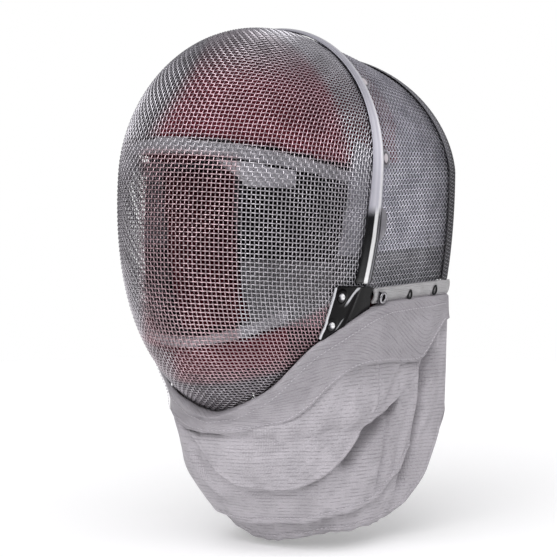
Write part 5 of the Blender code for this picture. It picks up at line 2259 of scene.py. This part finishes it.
@dataclass
class SideTrims:
    """Cloth strips along the lower edge of the side mesh, with eyelet, tab and loops."""

    top: float = -0.0818
    low: float = -0.0932
    front: float = 0.0030
    back: float = 0.1030
    lift: float = 0.0031
    wall: float = 0.0026
    eyelet: tuple[float, float] = (0.0115, -0.0885)
    loops: tuple[tuple[float, float], ...] = ((0.0490, -0.0892), (0.0820, -0.0880))

    def build(self, tree: NodeTree) -> None:
        """Makes both strips with what is on them.

        Args:
            tree: the tree that repeats a part on points.
        """
        seams = []
        for side, side_name in SIDES.items():
            def strip(u: np.ndarray, v: np.ndarray) -> Points:
                """Outer face of the strip.

                Args:
                    u: share from front to rear.
                    v: share from low to high.

                Returns:
                    The points.
                """
                y = self.front + (self.back - self.front) * u
                ripple = 0.0006 * np.sin(y * 240 + 2.5 * np.sin(y * 95)) * np.sin(math.pi * v)
                crown = 0.0006 - 0.0018 * (2 * v - 1) ** 2 + ripple
                z = self.low + (self.top - self.low) * v
                return side_lifted(y, z, self.lift + crown) * (side, 1, 1)

            piece = Workshop.walled(f"side_trim_cloth_{side_name}", strip, (80, 10), self.wall * 0.8,
                                    Finishes.TRIM_CLOTH, "bib_cloth", (f"side_trim_{side_name}",))
            y = np.linspace(self.front + 0.002, self.back - 0.002, 120)
            z = np.full_like(y, self.low + 0.0012)
            points = side_lifted(y, z, self.lift - 0.0002) * (side, 1, 1)
            seams.append((points, unit(side_lifted(y, z, self.lift + 0.001) * (side, 1, 1) - points)))
            self.fittings(side, side_name)
        SeamThread(0.0018, 0.0012, 0.00022).build(tree, "trim_stitches", seams, "bib_cloth")

    def fittings(self, side: int, side_name: str) -> None:
        """Makes the eyelet, its tab and the two loops.

        Args:
            side: LEFT or RIGHT.
            side_name: the side's name.
        """
        at_y, at_z = self.eyelet
        seat = self.lift + 0.0014

        def tab(u: np.ndarray, v: np.ndarray) -> Points:
            """Outer face of the eyelet's tab.

            Args:
                u: share from front to rear.
                v: share from low to high.

            Returns:
                The points.
            """
            half = 0.0046 + (0.0018 - 0.0046) * u
            return side_lifted(at_y - 0.0044 + 0.010 * u, at_z + half * (2 * v - 1), seat) * (side, 1, 1)

        Workshop.walled(f"eyelet_tab_plate_{side_name}", tab, (16, 12), 0.0010, Finishes.DARK_STEEL,
                        "dark_steel", (f"eyelet_tab_{side_name}",), round_edge=0.0003)

        def ring(u: np.ndarray, v: np.ndarray) -> Points:
            """Face of the eyelet's ring.

            Args:
                u: share round the ring.
                v: share round its section.

            Returns:
                The points.
            """
            turn, roll = 2 * math.pi * u, 2 * math.pi * v
            radius = 0.0034 + 0.0010 * np.cos(roll)
            place = side_lifted(at_y + radius * np.cos(turn), at_z + radius * np.sin(turn),
                                seat + 0.0009 + 0.0008 * np.sin(roll))
            return place * (side, 1, 1)

        self.closed(f"eyelet_ring_{side_name}", ring, 36, 12, Finishes.EYELET_STEEL, "polished_steel",
                    f"trim_eyelet_{side_name}")
        for number, (y, z) in enumerate(self.loops, start=1):
            def loop(u: np.ndarray, v: np.ndarray, y: float = y, z: float = z) -> Points:
                """Face of a loop, narrower toward its top.

                Args:
                    u: share round the loop.
                    v: share round its section.
                    y: the loop's middle.
                    z: its height.

                Returns:
                    The points.
                """
                turn, roll = 2 * math.pi * u, 2 * math.pi * v
                tear = 0.62 + 0.38 * np.sin(turn)
                across = 0.0030 * np.cos(turn) * (0.55 + 0.45 * (1 - tear)) * (1 + 0.30 * np.cos(roll))
                up = 0.0031 * np.sin(turn) * (1 + 0.28 * np.cos(roll))
                place = side_lifted(y + across, z + up, self.lift + 0.0012 + 0.0007 * np.sin(roll))
                return place * (side, 1, 1)

            self.closed(f"trim_loop_cord_{side_name}_{number}", loop, 36, 10, Finishes.DARK_CLOTH,
                        "dark_cloth", f"trim_loop_{side_name}_{number}")

    def closed(self, name: str, surface: Surface, around: int, rolls: int, finish: Finishes, slot: str,
               node: str) -> None:
        """Makes a closed ring.

        Args:
            name: the piece's name.
            surface: points from u round the ring and v round its section.
            around: cells round the ring.
            rolls: cells round the section.
            finish: its finish.
            slot: its slot.
            node: the CAD node that it stands for.
        """
        piece = Workshop.grid(name, surface, around, rolls, CENTRE)
        with edited(piece.data) as data:
            bmesh.ops.remove_doubles(data, verts=data.verts, dist=1e-6)
            bmesh.ops.recalc_face_normals(data, faces=data.faces)
        Workshop.finish(piece, finish, slot, (node,))


@dataclass
class SoftPad:
    """One padded piece of the lining, swelled by cloth simulation from its CAD solid."""

    node: str
    finish: Finishes
    slot: str
    # Cell of the remesh, the most that a point may swell, and what is added to make up for the rounding.
    voxel: float
    cap: float
    growth: float
    pressure: float = 4.0
    fill: float = 0.6
    shrink: float = 0.0006
    frames: int = 20

    def build(self) -> bpy.types.Object:
        """Makes the pad.

        Returns:
            The piece.
        """
        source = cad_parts[self.node]
        mesh = source.data.copy()
        mesh.materials.clear()
        piece = bpy.data.objects.new(f"{self.node}_soft", mesh)
        bpy.context.scene.collection.objects.link(piece)
        with edited(mesh) as data:
            bmesh.ops.remove_doubles(data, verts=data.verts, dist=1e-5)
        remesh = piece.modifiers.new("even", "REMESH")
        remesh.mode, remesh.voxel_size = "VOXEL", self.voxel
        Workshop.bake(piece)
        self.smooth(piece)
        self.grow(piece)
        self.swell(piece)
        subdivision = piece.modifiers.new("smooth", "SUBSURF")
        subdivision.levels = subdivision.render_levels = 1
        Workshop.bake(piece)
        piece.data.shade_smooth()
        Workshop.finish(piece, self.finish, self.slot, (self.node,))
        return piece

    def grow(self, piece: bpy.types.Object) -> None:
        """Makes up for what the rounding took.

        Args:
            piece: the pad.
        """
        mesh = piece.data
        places = np.array([vertex.co + vertex.normal * self.growth for vertex in mesh.vertices])
        mesh.vertices.foreach_set("co", places.ravel())
        mesh.update()

    def smooth(self, piece: bpy.types.Object) -> None:
        """Rounds the remeshed edges.

        Args:
            piece: the pad.
        """
        with edited(piece.data) as data:
            for _ in range(3):
                bmesh.ops.smooth_vert(data, verts=data.verts, factor=0.4, use_axis_x=True,
                                      use_axis_y=True, use_axis_z=True)

    def swell(self, piece: bpy.types.Object) -> None:
        """Blows the cover up a little and keeps every point near where it was.

        Args:
            piece: the pad.
        """
        before = np.array([vertex.co for vertex in piece.data.vertices])
        normals = np.array([vertex.normal for vertex in piece.data.vertices])
        start = before - normals * self.shrink
        piece.data.vertices.foreach_set("co", start.ravel())
        cloth = piece.modifiers.new("swell", "CLOTH")
        settings = cloth.settings
        settings.use_pressure, settings.uniform_pressure_force = True, self.pressure
        settings.quality, settings.mass = 6, 0.3
        settings.effector_weights.gravity = 0.0
        settings.tension_stiffness = settings.compression_stiffness = 15.0
        scene = bpy.context.scene
        for number in range(1, self.frames + 1):
            scene.frame_set(number)
        graph = bpy.context.evaluated_depsgraph_get()
        after = np.array([vertex.co for vertex in piece.evaluated_get(graph).data.vertices])
        piece.modifiers.clear()
        scene.frame_set(1)
        move = after - before
        size = np.linalg.norm(move, axis=-1, keepdims=True)
        held = before + move * np.minimum(1, self.cap / np.maximum(size, 1e-9))
        piece.data.vertices.foreach_set("co", held.ravel())
        piece.data.update()


@dataclass
class Lining:
    """The padded lining seen through the mesh, its cloth backing, the strap and the tongue."""

    backing_inset: float = 0.0025
    backing_low: float = -0.0885
    # Front edge of the backing: turn in degrees, reach from the rim plane.
    backing_front: tuple[tuple[float, float], ...] = (
        (-26.0, -0.0370),
        (0.0, -0.0300),
        (10.0, -0.0250),
        (26.0, -0.0150),
        (36.0, -0.0120),
        (48.0, -0.0080),
        (65.0, 0.0020),
        (90.0, 0.0040),
    )
    strap_start: float = 17.5

    def build(self) -> None:
        """Makes every piece of the lining."""
        red, grey, dark = Finishes.RED_LINING, Finishes.GREY_BINDING, Finishes.DARK_CLOTH
        for nodes, finish, slot, voxel, cap, growth in (
                (("forehead_pad",), red, "red_lining", 0.0058, 0.0010, 0.0004),
                (("cheek_pad_left", "cheek_pad_right"), red, "red_lining", 0.0040, 0.0004, -0.0002),
                (("chin_pad",), red, "red_lining", 0.0035, 0.0015, 0.0004),
                (("brow_band",), grey, "grey_binding", 0.0022, 0.0008, 0.0010),
                (("brow_tab_left", "brow_tab_right"), grey, "grey_binding", 0.0025, 0.0010, 0.0009),
                (("chin_band",), grey, "grey_binding", 0.0020, 0.0006, 0.0008),
                (("rear_tongue",), dark, "dark_cloth", 0.0044, 0.0010, 0.0004),
        ):
            for node in nodes:
                SoftPad(node, finish, slot, voxel, cap, growth).build()
        self.backing()
        self.strap()

    def backing(self) -> None:
        """Makes the grey cloth between the side mesh and the pads."""
        low = math.asin(self.backing_low / FORM.chin_reach)

        def cloth(u: np.ndarray, v: np.ndarray) -> Points:
            """Outer face of the backing, whose low rear edge turns inward.

            Args:
                u: share from the left to the right.
                v: share from front to rear.

            Returns:
                The points.
            """
            turn = over_crown(low, u)
            degrees = side_degrees(turn)
            front = smooth_reading(*zip(*self.backing_front), degrees)
            turned = np.clip((v - 0.85) / 0.15, 0.0, 1.0)
            reach = front + (FORM.shell_span(turn) - 0.0050 - front) * np.minimum(v / 0.85, 1.0)
            inward = 0.016 * turned * ease((60 - degrees) / 25)
            reach = reach + 0.001 * np.sin(turned * math.pi / 2)
            return skin_lifted(turn, reach, -self.backing_inset - inward)

        piece = Workshop.walled("side_backing_cloth", cloth, (120, 24), 0.0004, Finishes.SIDE_BACKING,
                                "grey_binding")

    def strap(self) -> None:
        """Makes the elastic strap behind the nape."""
        start = math.radians(self.strap_start)

        def webbing(u: np.ndarray, v: np.ndarray) -> Points:
            """Outer face of the strap.

            Args:
                u: share from the left to the right.
                v: share from low to high.

            Returns:
                The points.
            """
            angle = start + (math.pi - 2 * start) * u
            wave = 0.0006 * np.sin(u * 46) * (2 * v - 1)
            return np.stack((0.0885 * np.cos(angle), 0.070 + (0.034 + wave) * np.sin(angle),
                             -0.127 + 0.053 * v), -1)

        piece = Workshop.walled("back_strap_webbing", webbing, (120, 20), 0.0018, Finishes.STRAP, "strap",
                                ("back_strap",), inside=STRAP_CENTRE)


@dataclass
class Studio:
    """Plain pale floor, soft light and the camera."""

    camera_place: tuple[float, float, float] = (0.91325, -1.31040, -0.03255)
    camera_aim: tuple[float, float, float] = (0.00580, -0.03089, -0.16588)
    lens: float = 136.035
    floor_z: float = -0.3690
    floor_radius: float = 1.15
    white: float = 1.0
    # Key lamp: strength, angular size in degrees, way that its light goes.
    lamp: tuple[float, float, tuple[float, float, float]] = (1.85, 60.0, (-0.22, 0.72, -0.90))
    # Soft boxes of the surroundings: direction, inner and outer half angle in degrees, strength.
    boxes: tuple[tuple[tuple[float, float, float], float, float, float], ...] = (
        ((0.25, -0.78, 0.66), 12.0, 30.0, 1.3),
        ((0.55, 0.82, 0.30), 8.0, 20.0, 1.0),
        ((0.95, -0.10, 0.45), 12.0, 30.0, 0.85),
    )

    def build(self) -> None:
        """Makes the stage."""
        self.floor()
        self.sky()
        self.lamps()
        self.camera()

    def floor(self) -> None:
        """A round pale floor."""
        count = 96
        ring = [(self.floor_radius * math.cos(2 * math.pi * k / count),
                 self.floor_radius * math.sin(2 * math.pi * k / count), self.floor_z) for k in range(count)]
        floor = Workshop.mesh("floor", np.array(ring) + HEAD_SEAT, [tuple(range(count))])
        material = bpy.data.materials.new("floor_paint")
        material.use_nodes = True
        shader = Shader(material.node_tree)
        cloud = shader.noise(3.0, shader.place(), 2.0)
        surface = shader.node("ShaderNodeBsdfPrincipled", None, {
            "Base Color": shader.mix(cloud, (0.80, 0.80, 0.80), (0.82, 0.82, 0.82)), "Roughness": 0.9,
            "Specular IOR Level": 0.1, "Emission Color": (1.0, 1.0, 1.0), "Emission Strength": 0.28})
        shader.node("ShaderNodeOutputMaterial", None, {"Surface": surface})
        floor.data.materials.append(material)

    def sky(self) -> None:
        """Soft studio surroundings, seen as plain white."""
        world = bpy.data.worlds.new("studio")
        bpy.context.scene.world = world
        world.use_nodes = True
        shader = Shader(world.node_tree)
        toward = shader.node("ShaderNodeTexCoord", None, None, "Generated")
        height = shader.axis(toward, 2)
        light = shader.ramp(height, -0.12, 0.30) * 0.30 + 0.04
        for direction, inner, outer, strength in self.boxes:
            aim = tuple(Vector(direction).normalized())
            facing = shader.node("ShaderNodeVectorMath", {"operation": "DOT_PRODUCT"},
                                 {0: toward, 1: aim}, "Value")
            edge, full = math.cos(math.radians(outer)), math.cos(math.radians(inner))
            light = light + shader.ramp(facing, edge, full) * strength
        studio = shader.node("ShaderNodeBackground", None, {"Color": (1.0, 0.99, 1.02), "Strength": light})
        plain = shader.node("ShaderNodeBackground", None, {"Color": (1.0, 1.0, 1.0), "Strength": self.white})
        seen = shader.node("ShaderNodeLightPath", None, None, "Is Camera Ray")
        mixed = shader.node("ShaderNodeMixShader", None, {0: seen, 1: studio, 2: plain})
        shader.node("ShaderNodeOutputWorld", None, {"Surface": mixed})

    def lamps(self) -> None:
        """One broad key lamp."""
        energy, size, toward = self.lamp
        data = bpy.data.lights.new("key", "SUN")
        data.energy, data.angle = energy, math.radians(size)
        holder = bpy.data.objects.new("key", data)
        bpy.context.scene.collection.objects.link(holder)
        holder.rotation_euler = Vector(toward).to_track_quat("-Z", "Y").to_euler()

    def camera(self) -> None:
        """The camera, at the photograph's angle."""
        data = bpy.data.cameras.new("camera")
        data.lens, data.sensor_width, data.clip_start = self.lens, 36.0, 0.05
        holder = bpy.data.objects.new("camera", data)
        bpy.context.scene.collection.objects.link(holder)
        holder.location = self.camera_place
        aim = Vector(self.camera_aim) - Vector(self.camera_place)
        holder.rotation_euler = aim.to_track_quat("-Z", "Y").to_euler()
        bpy.context.scene.camera = holder
        bpy.context.scene.view_settings.view_transform = "Standard"


def main() -> None:
    """Builds the mask piece by piece."""
    logging.basicConfig(level=logging.INFO, format="%(message)s")
    wires, repeats = wire_tree(), repeat_tree()
    Studio().build()
    FaceNet().build(wires)
    SideNet().build(wires)
    RimAndEdging().build()
    JawBrackets().build(repeats)
    SideTrims().build(repeats)
    Bib().build(repeats)
    Lining().build()


if __name__ == "__main__":
    main()
